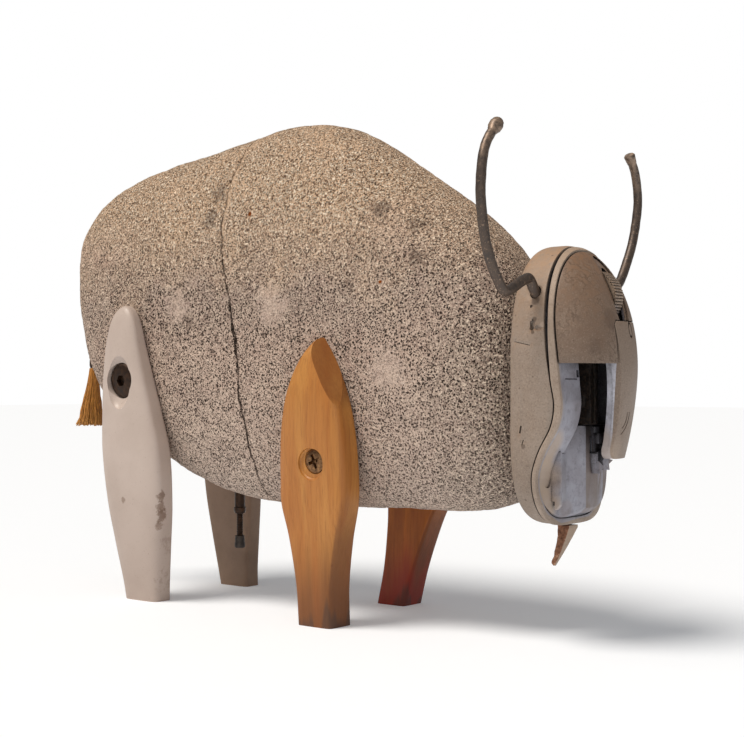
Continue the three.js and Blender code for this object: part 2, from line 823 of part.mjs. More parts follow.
// The cover that is left: the palm end, cut square across, with a slot for the wheel.
const wheelY = -1;
const slotHalf = wheelWidth / 2 + 0.8;
const earHeight = 4;
const earHalfLength = 3;
const earThickness = 2;
const axleRadius = 1.5;
const axleHalf = slotHalf + earThickness + 1;
const wheelCentre = new THREE.Vector3(caseBaseX + wheelU, wheelY - axleHalf, wheelZ);
const alongAxle = new THREE.Vector3(0, 1, 0);
const axleHole = turned(
  [[0, -3], [axleRadius + gap, -3], [axleRadius + gap, 2 * axleHalf + 3], [0, 2 * axleHalf + 3]],
  wheelCentre,
  alongAxle,
  12,
);
const palmEnd = block(caseBaseX, caseBaseX + 60, nearSide, farSide, coverEdgeZ, caseTopZ + 5);
const panelNotch = block(
  caseBaseX,
  caseBaseX + 60,
  panelEdgeY - seamGap / 2,
  farSide,
  coverEdgeZ - 5,
  panelTopZ + seamGap / 2,
);
let cover = outer.subtract(cavity).intersect(coverBody).intersect(palmEnd).subtract(panelNotch);
const slotReachZ = wheelDiameter / 2 + 1;
function wheelWell(halfWidth) {
  const [y0, y1] = [wheelY - halfWidth, wheelY + halfWidth];
  return block(caseBaseX + 10, caseBaseX + 60, y0, y1, wheelZ - slotReachZ, wheelZ + slotReachZ);
}
const slot = wheelWell(slotHalf);
for (const side of [-1, 1]) {
  const edge = wheelY + side * slotHalf;
  const [y0, y1] = side < 0 ? [edge - earThickness, edge] : [edge, edge + earThickness];
  const [x0, x1] = [caseBaseX + wheelU - earHeight, caseBaseX + 45];
  const ear = block(x0, x1, y0, y1, wheelZ - earHalfLength, wheelZ + earHalfLength);
  cover = cover.add(ear.intersect(outer));
}
cover = cover.subtract(slot).subtract(axleHole);
addPiece("head_cover", cover, materials.caseBeige);
band = band.subtract(slot);
addPiece("head_band", band, materials.caseBeige);

// The button that is left on the far side, with its inner skirt.
const panelRegion = stripOfCase(panelEdgeY, farSide, panelLowZ, panelTopZ, 7);
const panelHollow = stripOfCase(
  panelEdgeY + caseWall,
  farSide,
  panelLowZ + caseWall,
  panelTopZ + 5,
  5,
);
const skirtU = (z) => caseMidU + caseCrown(THREE.MathUtils.clamp(z, caseLowZ, caseTopZ)) - skirtDepth;
const skirtSide = block(caseBaseX - 5, caseBaseX + 60, nearSide, caseCentreY + 18, 0, caseTopZ);
const underSkirt = slab(() => -5, skirtU).intersect(skirtSide);
let panel = outer.intersect(panelRegion).subtract(cavity.intersect(panelHollow));
panel = panel.intersect(coverBody).subtract(underSkirt);
addPiece("head_button", panel, materials.caseBeige);

// The ribbed wheel in the cover's slot, with its axle.
const wheelShape = new THREE.Shape();
const wheelRibs = 26;
for (let i = 0; i < wheelRibs * 2; i++) {
  const radius = wheelDiameter / 2 - (i % 2 ? 0.7 : 0);
  const angle = (Math.PI * i) / wheelRibs;
  const [x, z] = [caseBaseX + wheelU + radius * Math.cos(angle), wheelZ + radius * Math.sin(angle)];
  if (i) wheelShape.lineTo(x, z);
  else wheelShape.moveTo(x, z);
}
const axle = turned(
  [[0, 0], [axleRadius, 0], [axleRadius, 2 * axleHalf], [0, 2 * axleHalf]],
  wheelCentre,
  alongAxle,
  12,
);
const wheelBody = alongY(wheelShape, wheelY - wheelWidth / 2, wheelY + wheelWidth / 2);
addPiece("head_wheel", wheelBody.add(axle), materials.caseGrey);

// The inner frame that the missing cover leaves bare: a ledge that follows the band, and a low
// ridged plate with a rib and two small hooks.
const trayOutside = caseForm(bandWall + gap, 11, 18);
const ledgeEdges = [
  [-8, caseTopZ - 14],
  [-15, caseTopZ - 30],
  [-15.2, 106],
  [-15.8, 90],
  [-17, 75],
  [-18.6, 64],
  [-15, caseLowZ + 5],
  [8, caseLowZ + 5],
  [13.5, 68],
  [15, gripZ],
  [15, palmZ],
  [12, caseTopZ - 26],
  [4, caseTopZ - 14],
];
const ledgeHole = new THREE.Shape(ledgeEdges.map(([y, z]) => new THREE.Vector2(y, z)));
const ledgeInside = alongX(ledgeHole, caseBaseX - 5, caseBaseX + 60);
const ledge = trayOutside.subtract(ledgeInside).intersect(
  slab(
    (z) => bandHigh(z) - 3.6,
    (z) => bandHigh(z) - 0.7,
  ),
);
const plateTopZ = 95;
const plateRidgeU = 18.7;
const plateShape = new THREE.Shape();
plateShape.setFromPoints(
  [
    [9.4, nearSide],
    [12, nearSide],
    [13.6, caseCentreY - 18],
    [plateRidgeU, caseCentreY + 4],
    [16.3, caseCentreY + 24],
    [15, farSide],
    [9.4, farSide],
  ].map(([u, y]) => new THREE.Vector2(caseBaseX + u, y)),
);
const plateOptions = { depth: plateTopZ - caseLowZ, bevelEnabled: false };
const plateBlock = solid(new THREE.ExtrudeGeometry(plateShape, plateOptions).translate(0, 0, caseLowZ));
const plateHollow = plateBlock.translate([-2.6, 0, -4]);
const ribY = caseCentreY - 15;
const rib = block(caseBaseX + 12, caseBaseX + 17.6, ribY - 1.6, ribY + 1.6, 64, 84);
const hooks = [
  block(caseBaseX + 15, caseBaseX + 20.5, 4, 6.5, 78.5, 83.5),
  block(caseBaseX + 15, caseBaseX + 22, 7.8, 12.6, 79, 84),
  block(caseBaseX + 14, caseBaseX + 21.5, 8.5, 13, 90, plateTopZ),
];
let tray = plateBlock.subtract(plateHollow).add(rib);
for (const hook of hooks) tray = tray.add(hook);
tray = tray.intersect(trayOutside).add(ledge).subtract(spikeForm(gap)).subtract(underCover());
addPiece("head_tray", tray, materials.caseGrey);

// Room for the wheel between its ears, and for the button's skirt.
function underCover() {
  const side = block(caseBaseX, caseBaseX + 60, panelEdgeY - 2, farSide, 70, panelTopZ + 3);
  const skirt = slab((z) => skirtU(z) - gap, () => 60).intersect(side);
  return skirt.add(wheelWell(axleHalf + gap));
}

// The dark double rail inside the case, on the shell's floor.
const railLowZ = plateTopZ + 0.6;
const railClearance = 0.5; // under the wheel's rim
const railTopZ = wheelZ - wheelDiameter / 2 - railClearance;
const railY = 0.4;
const rail = [-1, 1].map((side) => {
  const y = railY + side * 1.6;
  return block(caseBaseX + caseWall + gap, caseBaseX + 22, y - 1.2, y + 1.2, railLowZ, railTopZ);
});
const railFoot = block(
  caseBaseX + caseWall + gap,
  caseBaseX + 12,
  railY - 2.6,
  railY + 2.6,
  railLowZ,
  railTopZ,
);
const railRoom = caseForm(caseWall + gap);
const railBody = rail[0].add(rail[1]).add(railFoot).intersect(railRoom);
addPiece("head_rail", railBody, materials.darkPlastic);

// The stone last, with its crack, the flat seats of the legs, the holes and the flat for the head.
let stone = stoneForm().subtract(crackSlab().subtract(stoneForm(crackDepth)));
for (const cut of [...seats, ...holes]) stone = stone.subtract(cut);
stone = stone.trimByPlane([-1, 0, 0], -chestX);
addPiece("stone_body", stone, materials.stone);

// The frame's origin is at the middle of the footprint, on the ground.
const bounds = new THREE.Box3().setFromObject(bull);
bull.position.set(
  -(bounds.min.x + bounds.max.x) / 2,
  -(bounds.min.y + bounds.max.y) / 2,
  -bounds.min.z,
);
bull.updateMatrixWorld(true);

export default bull;
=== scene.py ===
import math

import bmesh
import bpy
from mathutils import Matrix, Vector, noise


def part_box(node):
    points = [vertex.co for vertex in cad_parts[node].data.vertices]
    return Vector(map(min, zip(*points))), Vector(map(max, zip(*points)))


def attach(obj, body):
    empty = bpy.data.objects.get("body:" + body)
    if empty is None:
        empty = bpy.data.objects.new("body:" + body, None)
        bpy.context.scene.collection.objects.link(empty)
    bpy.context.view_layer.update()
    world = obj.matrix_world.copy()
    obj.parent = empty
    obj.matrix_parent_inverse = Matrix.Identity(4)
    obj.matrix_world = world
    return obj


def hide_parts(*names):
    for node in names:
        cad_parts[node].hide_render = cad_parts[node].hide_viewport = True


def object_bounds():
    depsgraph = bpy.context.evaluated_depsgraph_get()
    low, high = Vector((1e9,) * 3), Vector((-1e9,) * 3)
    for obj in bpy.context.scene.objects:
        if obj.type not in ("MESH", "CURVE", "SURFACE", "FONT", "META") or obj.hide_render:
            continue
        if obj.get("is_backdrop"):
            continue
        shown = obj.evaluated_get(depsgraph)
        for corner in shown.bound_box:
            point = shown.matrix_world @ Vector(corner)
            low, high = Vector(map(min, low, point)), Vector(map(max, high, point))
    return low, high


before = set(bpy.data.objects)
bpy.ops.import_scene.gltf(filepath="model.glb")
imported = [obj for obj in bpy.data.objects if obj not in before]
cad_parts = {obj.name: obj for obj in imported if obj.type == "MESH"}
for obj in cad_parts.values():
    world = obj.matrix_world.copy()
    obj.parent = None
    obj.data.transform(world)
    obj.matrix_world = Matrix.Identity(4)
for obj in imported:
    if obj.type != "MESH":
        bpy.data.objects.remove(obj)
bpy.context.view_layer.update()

# The body: one worn block of foamed stone, light and full of small round pores, like a pumice
# brick that has been rubbed to a hump. It broke across behind the front legs and was glued.
MM = 0.001
stone_low, stone_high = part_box("stone_body")
chest = 106.5  # the flat of the chest, in millimetres forward of the front legs' line
sole = 1.5  # the height at which the legs are sawn off
middle_y = (stone_low.y + stone_high.y) / 2


def spot(x, y, z):
    """A place in the frame, from millimetres forward, to the bull's left, and up."""
    return Vector((stone_high.x + (x - chest) * MM, middle_y + y * MM, (z - sole) * MM))


def paint(red, green, blue):
    """A colour as the eye sees it, from 0 to 255, turned into the linear values of a shader."""
    def linear(level):
        level /= 255
        return level / 12.92 if level <= 0.04045 else ((level + 0.055) / 1.055) ** 2.4
    return (linear(red), linear(green), linear(blue), 1)


class Value:
    """One output of a node, to reckon with: each sum adds a Math node to the tree."""

    def __init__(self, tree, socket):
        self.tree = tree
        self.socket = socket

    def math(self, operation, second=0.0, third=0.0):
        return node(self.tree, "ShaderNodeMath", {0: self, 1: second, 2: third}, operation=operation)[0]

    def __add__(self, other):
        return self.math("ADD", other)

    def __sub__(self, other):
        return self.math("SUBTRACT", other)

    def __mul__(self, other):
        return self.math("MULTIPLY", other)

    def __truediv__(self, other):
        return self.math("DIVIDE", other)

    def __pow__(self, other):
        return self.math("POWER", other)

    def __abs__(self):
        return self.math("ABSOLUTE")

    def __rsub__(self, other):
        return node(self.tree, "ShaderNodeMath", {0: other, 1: self}, operation="SUBTRACT")[0]

    def __rtruediv__(self, other):
        return node(self.tree, "ShaderNodeMath", {0: other, 1: self}, operation="DIVIDE")[0]

    def vector(self, operation, other):
        made = node(self.tree, "ShaderNodeVectorMath", {0: self, 1: other}, operation=operation)
        return made["Value" if operation == "DISTANCE" else "Vector"]

    def scaled(self, share):
        return node(self.tree, "ShaderNodeVectorMath", {0: self, "Scale": share}, operation="SCALE")[0]

    def part(self, axis):
        return node(self.tree, "ShaderNodeSeparateXYZ", {0: self})[axis]

    def to(self, target, label):
        self.tree.links.new(self.socket, target.inputs[label])


class Made:
    """A node just added: its outputs are read by name or number."""

    def __init__(self, tree, made):
        self.tree = tree
        self.made = made
        self.inputs = made.inputs

    def __getitem__(self, label):
        return Value(self.tree, self.made.outputs[label])


def node(tree, kind, inputs=None, **settings):
    """Adds a node, sets it, and links or fills its inputs."""
    made = tree.nodes.new(kind)
    for key, value in settings.items():
        setattr(made, key, value)
    for label, value in (inputs or {}).items():
        if isinstance(value, Value):
            value.to(made, label)
        else:
            made.inputs[label].default_value = value
    return Made(tree, made)


def ramp(value, low, high, soft="LINEAR"):
    """Stretches low to high over 0 to 1; high may be the smaller one."""
    inputs = {"Value": value, "From Min": low, "From Max": high}
    return node(value.tree, "ShaderNodeMapRange", inputs, interpolation_type=soft)["Result"]


def mixed(share, first, second):
    """Mixes two colours by a share."""
    tree = next(value.tree for value in (share, first, second) if isinstance(value, Value))
    return node(tree, "ShaderNodeMix", {0: share, 6: first, 7: second}, data_type="RGBA")[2]


def noisy(place, scale, detail=4.0, rough=0.55):
    """Soft random values of that many waves a metre."""
    inputs = {"Vector": place, "Scale": scale, "Detail": detail, "Roughness": rough}
    return node(place.tree, "ShaderNodeTexNoise", inputs)[0]


def new_material(name, roughness=0.6, metallic=0.0, specular=0.5):
    """A material with its shader, and Object coordinates to paint by."""
    made = bpy.data.materials.new(name)
    made.use_nodes = True
    tree = made.node_tree
    shader = tree.nodes["Principled BSDF"]
    shader.inputs["Roughness"].default_value = roughness
    shader.inputs["Metallic"].default_value = metallic
    shader.inputs["Specular IOR Level"].default_value = specular
    return made, tree, shader, node(tree, "ShaderNodeTexCoord")["Object"]


def bumped(shader, height, strength, depth):
    """Gives the shader a bump of that depth in metres."""
    inputs = {"Height": height, "Strength": strength, "Distance": depth}
    node(height.tree, "ShaderNodeBump", inputs)[0].to(shader, "Normal")


def layered(colour, *layers):
    """Lays tones over a colour, one after another: each is a share, and a tone as the eye sees it."""
    for share, *tone in layers:
        colour = mixed(share, colour, paint(*tone))
    return colour


def modified(piece, kind, **settings):
    """Gives a piece one more modifier."""
    step = piece.modifiers.new(kind.lower(), kind)
    for key, value in settings.items():
        setattr(step, key, value)


def settled(piece):
    """Turns a piece and its modifiers into one plain mesh."""
    graph = bpy.context.evaluated_depsgraph_get()
    shaped = bpy.data.meshes.new_from_object(piece.evaluated_get(graph))
    piece.modifiers.clear()
    piece.data = shaped
    return piece


def piece_of(name, mesh):
    made = bpy.data.objects.new(name, mesh)
    bpy.context.scene.collection.objects.link(made)
    return made


def copy_of(part, name):
    """A welded copy of a construction solid, to be shaped further."""
    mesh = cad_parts[part].data.copy()
    weld = bmesh.new()
    weld.from_mesh(mesh)
    bmesh.ops.remove_doubles(weld, verts=weld.verts, dist=0.01 * MM)
    weld.to_mesh(mesh)
    weld.free()
    mesh.materials.clear()
    return piece_of(name, mesh)


def painted(piece, finish):
    piece.data.materials.clear()
    piece.data.materials.append(finish)


def smooth_faces(piece, sharp_angle=40):
    for face in piece.data.polygons:
        face.use_smooth = True
    piece.data.set_sharp_from_angle(angle=math.radians(sharp_angle))


def fitted(piece, slot, *parts):
    """Hangs a finished piece on the root body and hides the construction solids that it stands for. The slot
    is not used.
    """
    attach(piece, "root")
    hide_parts(*parts)


stone = copy_of("stone_body", "stone_block")
modified(stone, "REMESH", mode="VOXEL", voxel_size=5.45 * MM)
modified(stone, "SMOOTH", factor=0.5, iterations=10)
modified(stone, "SUBSURF", levels=2, render_levels=2)
settled(stone)

crack_x = [(41, -36), (62, -41), (86, -44), (111, -47.7), (133, -48.6), (146, -51.2), (161, -54.2),
           (185, -61), (213, -60.6), (235, -59), (256, -58)]


def between(stations, place, column=1):
    """Reads a smooth value between stations."""
    if place <= stations[0][0]:
        return stations[0][column]
    if place >= stations[-1][0]:
        return stations[-1][column]
    last = len(stations) - 1
    k = next(i for i, station in enumerate(stations) if station[0] > place) - 1
    p0, p1, p2, p3 = (stations[min(max(i, 0), last)] for i in range(k - 1, k + 3))
    span = p2[0] - p1[0]
    t = (place - p1[0]) / span

    def slope(a, b):
        return 0 if a[0] == b[0] else (b[column] - a[column]) / (b[0] - a[0]) * span

    return ((2 * t**3 - 3 * t**2 + 1) * p1[column] + (t**3 - 2 * t**2 + t) * slope(p0, p2)
            + (3 * t**2 - 2 * t**3) * p2[column] + (t**3 - t**2) * slope(p1, p3))


def crack_place(z):
    """How far forward the break runs at a height, with its small wanderings."""
    wander = noise.noise(Vector((z * 0.11, 3.1, 0.4))) * 1.2 + noise.noise(Vector((z * 0.45, 8.2, 0))) * 0.7
    return between(crack_x, z) + wander


def drawn(point):
    """A point of the frame in the drawing's millimetres."""
    return ((point.x - stone_high.x) / MM + chest, (point.y - middle_y) / MM, point.z / MM + sole)


edit = bmesh.new()
edit.from_mesh(stone.data)
near_crack = []
for face in edit.faces:
    x, y, z = drawn(face.calc_center_median())
    if abs(x - crack_place(z)) < 1.7:
        near_crack.append(face)
edges = list({edge for face in near_crack for edge in face.edges})
bmesh.ops.subdivide_edges(edit, edges=edges, cuts=2, use_grid_fill=True)
edit.normal_update()
for vertex in edit.verts:
    x, y, z = drawn(vertex.co)
    side = x - crack_place(z)
    gape = between([(100, 0.5), (128, 1), (138, 2.2), (148, 1.2), (170, 0.9), (250, 0.7)], z)
    width = 0.9 + 0.3 * noise.noise(Vector((z * 0.3, y * 0.2, 5)))
    if abs(side) < width and x < chest - 5:
        vertex.co -= vertex.normal * gape * (1 - abs(side) / width) * MM
    elif z < 128 and 0 < side < 14:
        vertex.co -= vertex.normal * (1 - side / 14) * 0.5 * MM
edit.to_mesh(stone.data)
edit.free()
beside = stone.data.attributes.new("crack", "FLOAT", "POINT")
for vertex, mark in zip(stone.data.vertices, beside.data):
    x, y, z = drawn(vertex.co)
    mark.value = x - crack_place(z)


def new_group(name, kind, inputs, output):
    """A node tree with one output; an input holds its kind of socket, or a number to start from."""
    tree = bpy.data.node_groups.new(name, f"{kind}NodeTree")
    for label, value in inputs.items():
        kind = value if isinstance(value, str) else type(value).__name__.title()
        socket = tree.interface.new_socket(label, in_out="INPUT", socket_type=f"NodeSocket{kind}")
        if value != kind:
            socket.default_value = value
    kind = "Float" if output == "Mask" else output
    tree.interface.new_socket(output, in_out="OUTPUT", socket_type=f"NodeSocket{kind}")
    return tree, node(tree, "NodeGroupInput")


relief, asked = new_group("stone_relief", "Geometry", {
    "Geometry": "Geometry", "Lump size": 22 * MM, "Lump height": 0.9 * MM, "Pit spacing": 3.1 * MM,
    "Pit depth": 0.7 * MM, "Grain height": 0.42 * MM, "Chest": stone_high.x, "Finish": "Material",
}, "Geometry")
where = node(relief, "GeometryNodeInputPosition")[0]
lump_scale = 1.0 / asked["Lump size"]
lumps = (noisy(where, lump_scale, 3.0) - 0.5) * (asked["Lump height"] * 2.0)
pit_scale = 1.0 / asked["Pit spacing"]
cells = node(relief, "ShaderNodeTexVoronoi", {"Vector": where, "Scale": pit_scale})
rough_places = ramp(noisy(where, 28.0, 2.0), 0.42, 0.62, "SMOOTHSTEP")
cell_chance = cells["Color"].part(0)
reach = cell_chance * 0.42 + 0.1
pits = ramp(cells["Distance"], reach, 0.0, "SMOOTHSTEP") * (rough_places * 0.7 + 0.3) * asked["Pit depth"]
grain = (noisy(where, 420.0, 3.0, 0.7) - 0.5) * (asked["Grain height"] * 2.0)
lift = (lumps + grain - pits).math("MINIMUM", 0.65 * MM)
lift = lift * ramp(asked["Chest"] - where.part(0), 0.5 * MM, 6 * MM)
offset = node(relief, "GeometryNodeInputNormal")[0].scaled(lift)
moved = node(relief, "GeometryNodeSetPosition", {"Geometry": asked["Geometry"], "Offset": offset})
real = node(relief, "GeometryNodeRealizeInstances", {0: moved[0]})
dressed = node(relief, "GeometryNodeSetMaterial", {"Geometry": real[0], "Material": asked["Finish"]})
node(relief, "NodeGroupOutput", {0: dressed[0]})


def grown(piece, tree, **values):
    """Runs a node tree on a piece with its named inputs set, and keeps the plain mesh."""
    step = piece.modifiers.new("grown", "NODES")
    step.node_group = tree
    names = {item.name: item.identifier for item in tree.interface.items_tree if item.in_out == "INPUT"}
    for label, value in values.items():
        step[names[label.replace("_", " ")]] = value
    return settled(piece)


# A patch is a soft round mask about a place, for smears, stains and rubbed spots.
patch, asked = new_group("patch", "Shader", {
    "Vector": "Vector", "Centre": "Vector", "Radius": "Float", "Ragged": "Float",
}, "Mask")
gone = asked["Vector"].vector("DISTANCE", asked["Centre"])
torn = noisy(asked["Vector"], 330.0, 6.0, 0.72) - 0.5
gone = gone + torn * asked["Ragged"]
node(patch, "NodeGroupOutput", {0: ramp(gone, asked["Radius"], asked["Radius"] * 0.55, "SMOOTHSTEP")})


def patch_mask(place, centre, radius, ragged=8.0):
    """Radius and raggedness in millimetres; the centre is a place in the frame."""
    inputs = {"Vector": place, "Centre": centre, "Radius": radius * MM, "Ragged": ragged * MM}
    return node(place.tree, "ShaderNodeGroup", inputs, node_tree=patch)[0]


def facing(tree, axis, low, high):
    """1 where a surface faces along an axis of the frame, 0 where it turns away."""
    return ramp(node(tree, "ShaderNodeNewGeometry")["Normal"].part(axis), low, high)


stone_finish, tree, shader, place = new_material("foamed_stone", roughness=0.95, specular=0.15)
warp = node(tree, "ShaderNodeTexNoise", {"Vector": place, "Scale": 700.0, "Detail": 2.0})["Color"]
warped = place.vector("ADD", warp.scaled(0.7 * MM))


def pores(scale, rarity, reach, spread):
    """Round holes in cells of a size: gives how open each point is, and the cell's own chance."""
    cells = node(tree, "ShaderNodeTexVoronoi", {"Vector": warped, "Scale": scale})
    chances = node(tree, "ShaderNodeSeparateColor", {"Color": cells["Color"]})
    size = chances[1] * spread + reach
    hole = ramp(cells["Distance"], size, size * 0.55, "SMOOTHSTEP")
    return (hole * ramp(chances[0], rarity, rarity + 0.02), chances[2])


small, small_chance = pores(1000.0, 0.04, 0.28, 0.3)
large = pores(560.0, 0.78, 0.26, 0.2)[0]
dust_holes = pores(1300.0, 0.1, 0.28, 0.28)[0]
foam = noisy(warped, 980.0, 2.5, 0.62)
grit = noisy(place, 1300.0, 3.0, 0.7)
clouds = noisy(place, 30.0, 5.0, 0.6)
mottle = noisy(place, 160.0, 4.0, 0.6)
low = place.part(2)
forward = place.part(0)
# Pale and cinnamon on the top: partly its own tone, partly painted light from above. Greyer on the flanks,
# paler and pinker towards the belly.
colour = mixed(ramp(clouds, 0.32, 0.68), paint(181, 154, 140), paint(205, 180, 163))
colour = mixed(ramp(mottle, 0.4, 0.75), colour, paint(218, 194, 175))
top_tone_and_light = ramp(low + (clouds - 0.5) * 0.08, 0.15, 0.205)
colour = mixed(top_tone_and_light, colour, paint(255, 214, 176))
colour = mixed(ramp(low, 0.125, 0.06), colour, mixed(0.5, colour, paint(222, 204, 190)))
smooth_spots = patch_mask(place, spot(-25, -38, 151), 12, 30)
for centre, radius in ((spot(45, -38, 119), 12), (spot(-89, -38, 153), 10), (spot(6, -38, 104), 7)):
    smooth_spots = smooth_spots.math("MAXIMUM", patch_mask(place, centre, radius, 30))
smooth_spots = ramp(smooth_spots, 0.2, 0.65)
crack = node(tree, "ShaderNodeAttribute", attribute_name="crack")["Fac"]
frayed = crack + (mottle - 0.5) * 2.0
glue = ramp(abs(frayed - 1.2), 2.0, 1.1) * ramp(low, 0.175, 0.19) * ramp(mottle, 0.3, 0.6)
filled = smooth_spots.math("MAXIMUM", glue)
open_share = 1.0 - filled * 0.7
# The foam is coarsest on the back and the neck, and finest along the foot of the flanks.
coarse = ramp(low, 0.13, 0.2).math("MAXIMUM", ramp(forward, 0.09, 0.15)) * ramp(clouds, 0.28, 0.5)
fine_share = open_share * (ramp(low, 0.05, 0.11) * 0.3 + 0.7) * (top_tone_and_light * -0.45 + 1.0)
small = small * fine_share
large = large * fine_share
dust_holes = dust_holes * fine_share
foam_share = (coarse * 0.82 + 0.12) * open_share
foam_hole = ramp(foam, 0.455, 0.38, "SMOOTHSTEP") * foam_share
foam_rim = ramp(foam, 0.49, 0.6, "SMOOTHSTEP") * foam_share
colour = layered(
    colour,
    (smooth_spots * 0.2, 196, 178, 166),
    (glue * 0.4, 198, 168, 140),
    (ramp(grit, 0.5, 0.34) * 0.4, 112, 90, 78),
    (ramp(grit, 0.52, 0.68) * 0.5, 236, 218, 202),
    (foam_rim, 255, 236, 212),
    (foam_hole * 0.95, 74, 52, 40),
    (dust_holes * 0.6, 100, 78, 67),
)
hole_tone = mixed(small_chance, paint(58, 42, 34), paint(18, 12, 10))
colour = mixed(small * 0.95, colour, hole_tone)
colour = mixed(large * 0.9, colour, paint(58, 42, 33))
stains = patch_mask(place, spot(-67, -28, 208), 7, 20)
for centre, radius in ((spot(-70, -34, 196), 5), (spot(-80, -38, 144), 3), (spot(-98, -38, 66), 8),
                       (spot(35, -30, 193), 5), (spot(56, -30, 186), 4), (spot(59, -34, 169), 5),
                       (spot(84, -30, 190), 7), (spot(22, -36, 158), 3)):
    stains = stains.math("MAXIMUM", patch_mask(place, centre, radius + 1, 20))
colour = mixed(stains * 0.5, colour, paint(84, 68, 60))
for centre, radius in ((spot(-42.3, -34, 195.9), 1.6), (spot(41, -37, 158.8), 1.1)):
    colour = mixed(patch_mask(place, centre, radius, 2), colour, paint(150, 82, 34))
# The break is a hairline that gapes half way down and thins out towards the belly.
wide_at = ramp(abs(low - 0.137), 0.014, 0.003)
half_line = (wide_at * 0.6 + 0.5) * ramp(mottle, 0.3, 0.55)
off_line = abs(crack + (mottle - 0.5) * 0.6)
line = ramp(off_line - half_line, 0.35, -0.1) * ramp(low, 0.04, 0.075) * (ramp(low, 0.2, 0.15) * 0.4 + 0.6)
colour = mixed(line * 0.9, colour, paint(46, 33, 26))
colour.to(shader, "Base Color")
height = grit * 0.5 + (foam_rim - foam_hole) * 1.1 - large * 1.4 - small - dust_holes * 0.3
bumped(shader, height, 1.0, 1.0 * MM)
grown(stone, relief, Finish=stone_finish)
smooth_faces(stone, 180)
fitted(stone, "stone", "stone_body")

# The legs: two sawn and varnished pieces of wood in front, whittled to a chisel point at the top,
# and two moulded plastic legs behind. Each is flat towards the stone and swells outwards.
lean = 0.0705
foot_inner_y = 28.6
# Stations up from the ground: height, centre, half width, thickness, squareness of the outer edges.
wood_leg = [
    (0, 0, 10, 16, 9), (20, 0, 10.8, 15.6, 9), (42, 0, 14.6, 15, 9), (57, 0, 18.6, 15, 8),
    (66, 0, 19.6, 15, 5), (78, 0, 19.6, 15, 4), (92, 0, 18.6, 14.8, 3.6), (106, 0, 16, 14, 3.2),
    (118, 0, 11.6, 12, 3), (127, 0.5, 6.6, 9.5, 2.8), (133, 0.8, 2.3, 5, 2.6), (134.5, 0.6, 0.4, 1.6, 2.6),
]
plastic_leg = [
    (0, 0, 11.6, 11.6, 5), (10, -0.6, 13.2, 12, 3.6), (31, -1.6, 17, 13, 3), (52, -2.4, 20.4, 13.4, 3),
    (78, -3.4, 21.6, 13.4, 3), (98, -5.2, 18.8, 12.6, 3), (115, -7, 15.8, 11.4, 3),
    (133, -8.4, 12.2, 9.8, 2.8), (143, -8.4, 9.6, 8.4, 2.6), (149, -8.2, 6.8, 7, 2.5),
    (152.6, -8, 3.4, 5, 2.4), (153.6, -8, 0.9, 3.4, 2.4),
]


def loft(name, rings):
    """A closed skin over rings of equal length."""
    sides = len(rings[0])
    points = [point for ring in rings for point in ring]
    faces = [tuple(range(sides))[::-1], tuple(range(len(points) - sides, len(points)))]
    for k in range(len(rings) - 1):
        for i in range(sides):
            j = (i + 1) % sides
            faces.append((k * sides + i, k * sides + j, (k + 1) * sides + j, (k + 1) * sides + i))
    mesh = bpy.data.meshes.new(name)
    mesh.from_pydata(points, [], faces)
    edit = bmesh.new()
    edit.from_mesh(mesh)
    bmesh.ops.recalc_face_normals(edit, faces=edit.faces)
    edit.to_mesh(mesh)
    edit.free()
    return piece_of(name, mesh)


def power(value, exponent):
    return math.copysign(abs(value) ** exponent, value)


class Leg:
    def __init__(self, table, side, x, sweep, width, height):
        self.table, self.side, self.x, self.sweep = table, side, x, sweep
        self.width, self.height = width, height

    def centre(self, z):
        return self.x + self.sweep * z + between(self.table, z / self.height, 1)

    def face(self, z):
        return self.side * (foot_inner_y + lean * z + between(self.table, z / self.height, 3))

    def out(self):
        return Vector((0, self.side, -lean)).normalized()

    def form(self, name, levels=70, sides=56):
        top = self.table[-1][0]
        rings = []
        for k in range(levels + 1):
            share = k / levels
            low = sole / self.height
            height = low + (top - low) * (1 - (1 - share) ** 1.35)
            z = height * self.height
            half = between(self.table, height, 2) * self.width
            thick = between(self.table, height, 3)
            ring = []
            for i in range(sides):
                angle = 2 * math.pi * (i + 0.5) / sides
                bend = 2 / 9 if math.sin(angle) < 0 else 2 / between(self.table, height, 4)
                x = self.centre(z) + half * power(math.cos(angle), bend)
                out = thick / 2 * (1 + power(math.sin(angle), bend))
                ring.append(spot(x, self.side * (foot_inner_y + lean * z + out), z))
            rings.append(ring)
        return loft(name, rings)


def carve(piece, tool, operation="DIFFERENCE"):
    """Cuts, joins or crosses a piece with a tool, which is used up."""
    modified(piece, "BOOLEAN", operation=operation, object=tool, solver="MANIFOLD")
    settled(piece)
    bpy.data.objects.remove(tool)
    return piece


def turned(name, profile, at, axis, sides=48):
    """Turns pairs of radius and height, in millimetres, about an axis that starts at a place."""
    turn = Vector((0, 0, 1)).rotation_difference(axis).to_matrix()
    rings = []
    for radius, rise in profile:
        ring = []
        for i in range(sides):
            angle = 2 * math.pi * i / sides
            ring.append(at + turn @ Vector((radius * math.cos(angle), radius * math.sin(angle), rise)) * MM)
        rings.append(ring)
    return loft(name, rings)


def stretched(piece, at, shares):
    """Stretches a piece about a place, by a share along each axis."""
    piece.data.transform(Matrix.Translation(at) @ Matrix.Diagonal((*shares, 1)) @ Matrix.Translation(-at))
    return piece


def box_at(name, size, at, turn=None):
    """A box of millimetres about a place, turned by a matrix."""
    made = bmesh.new()
    bmesh.ops.create_cube(made, size=1)
    for vertex in made.verts:
        moved = Vector((vertex.co.x * size[0], vertex.co.y * size[1], vertex.co.z * size[2])) * MM
        vertex.co = at + (turn @ moved if turn else moved)
    mesh = bpy.data.meshes.new(name)
    made.to_mesh(mesh)
    made.free()
    return piece_of(name, mesh)


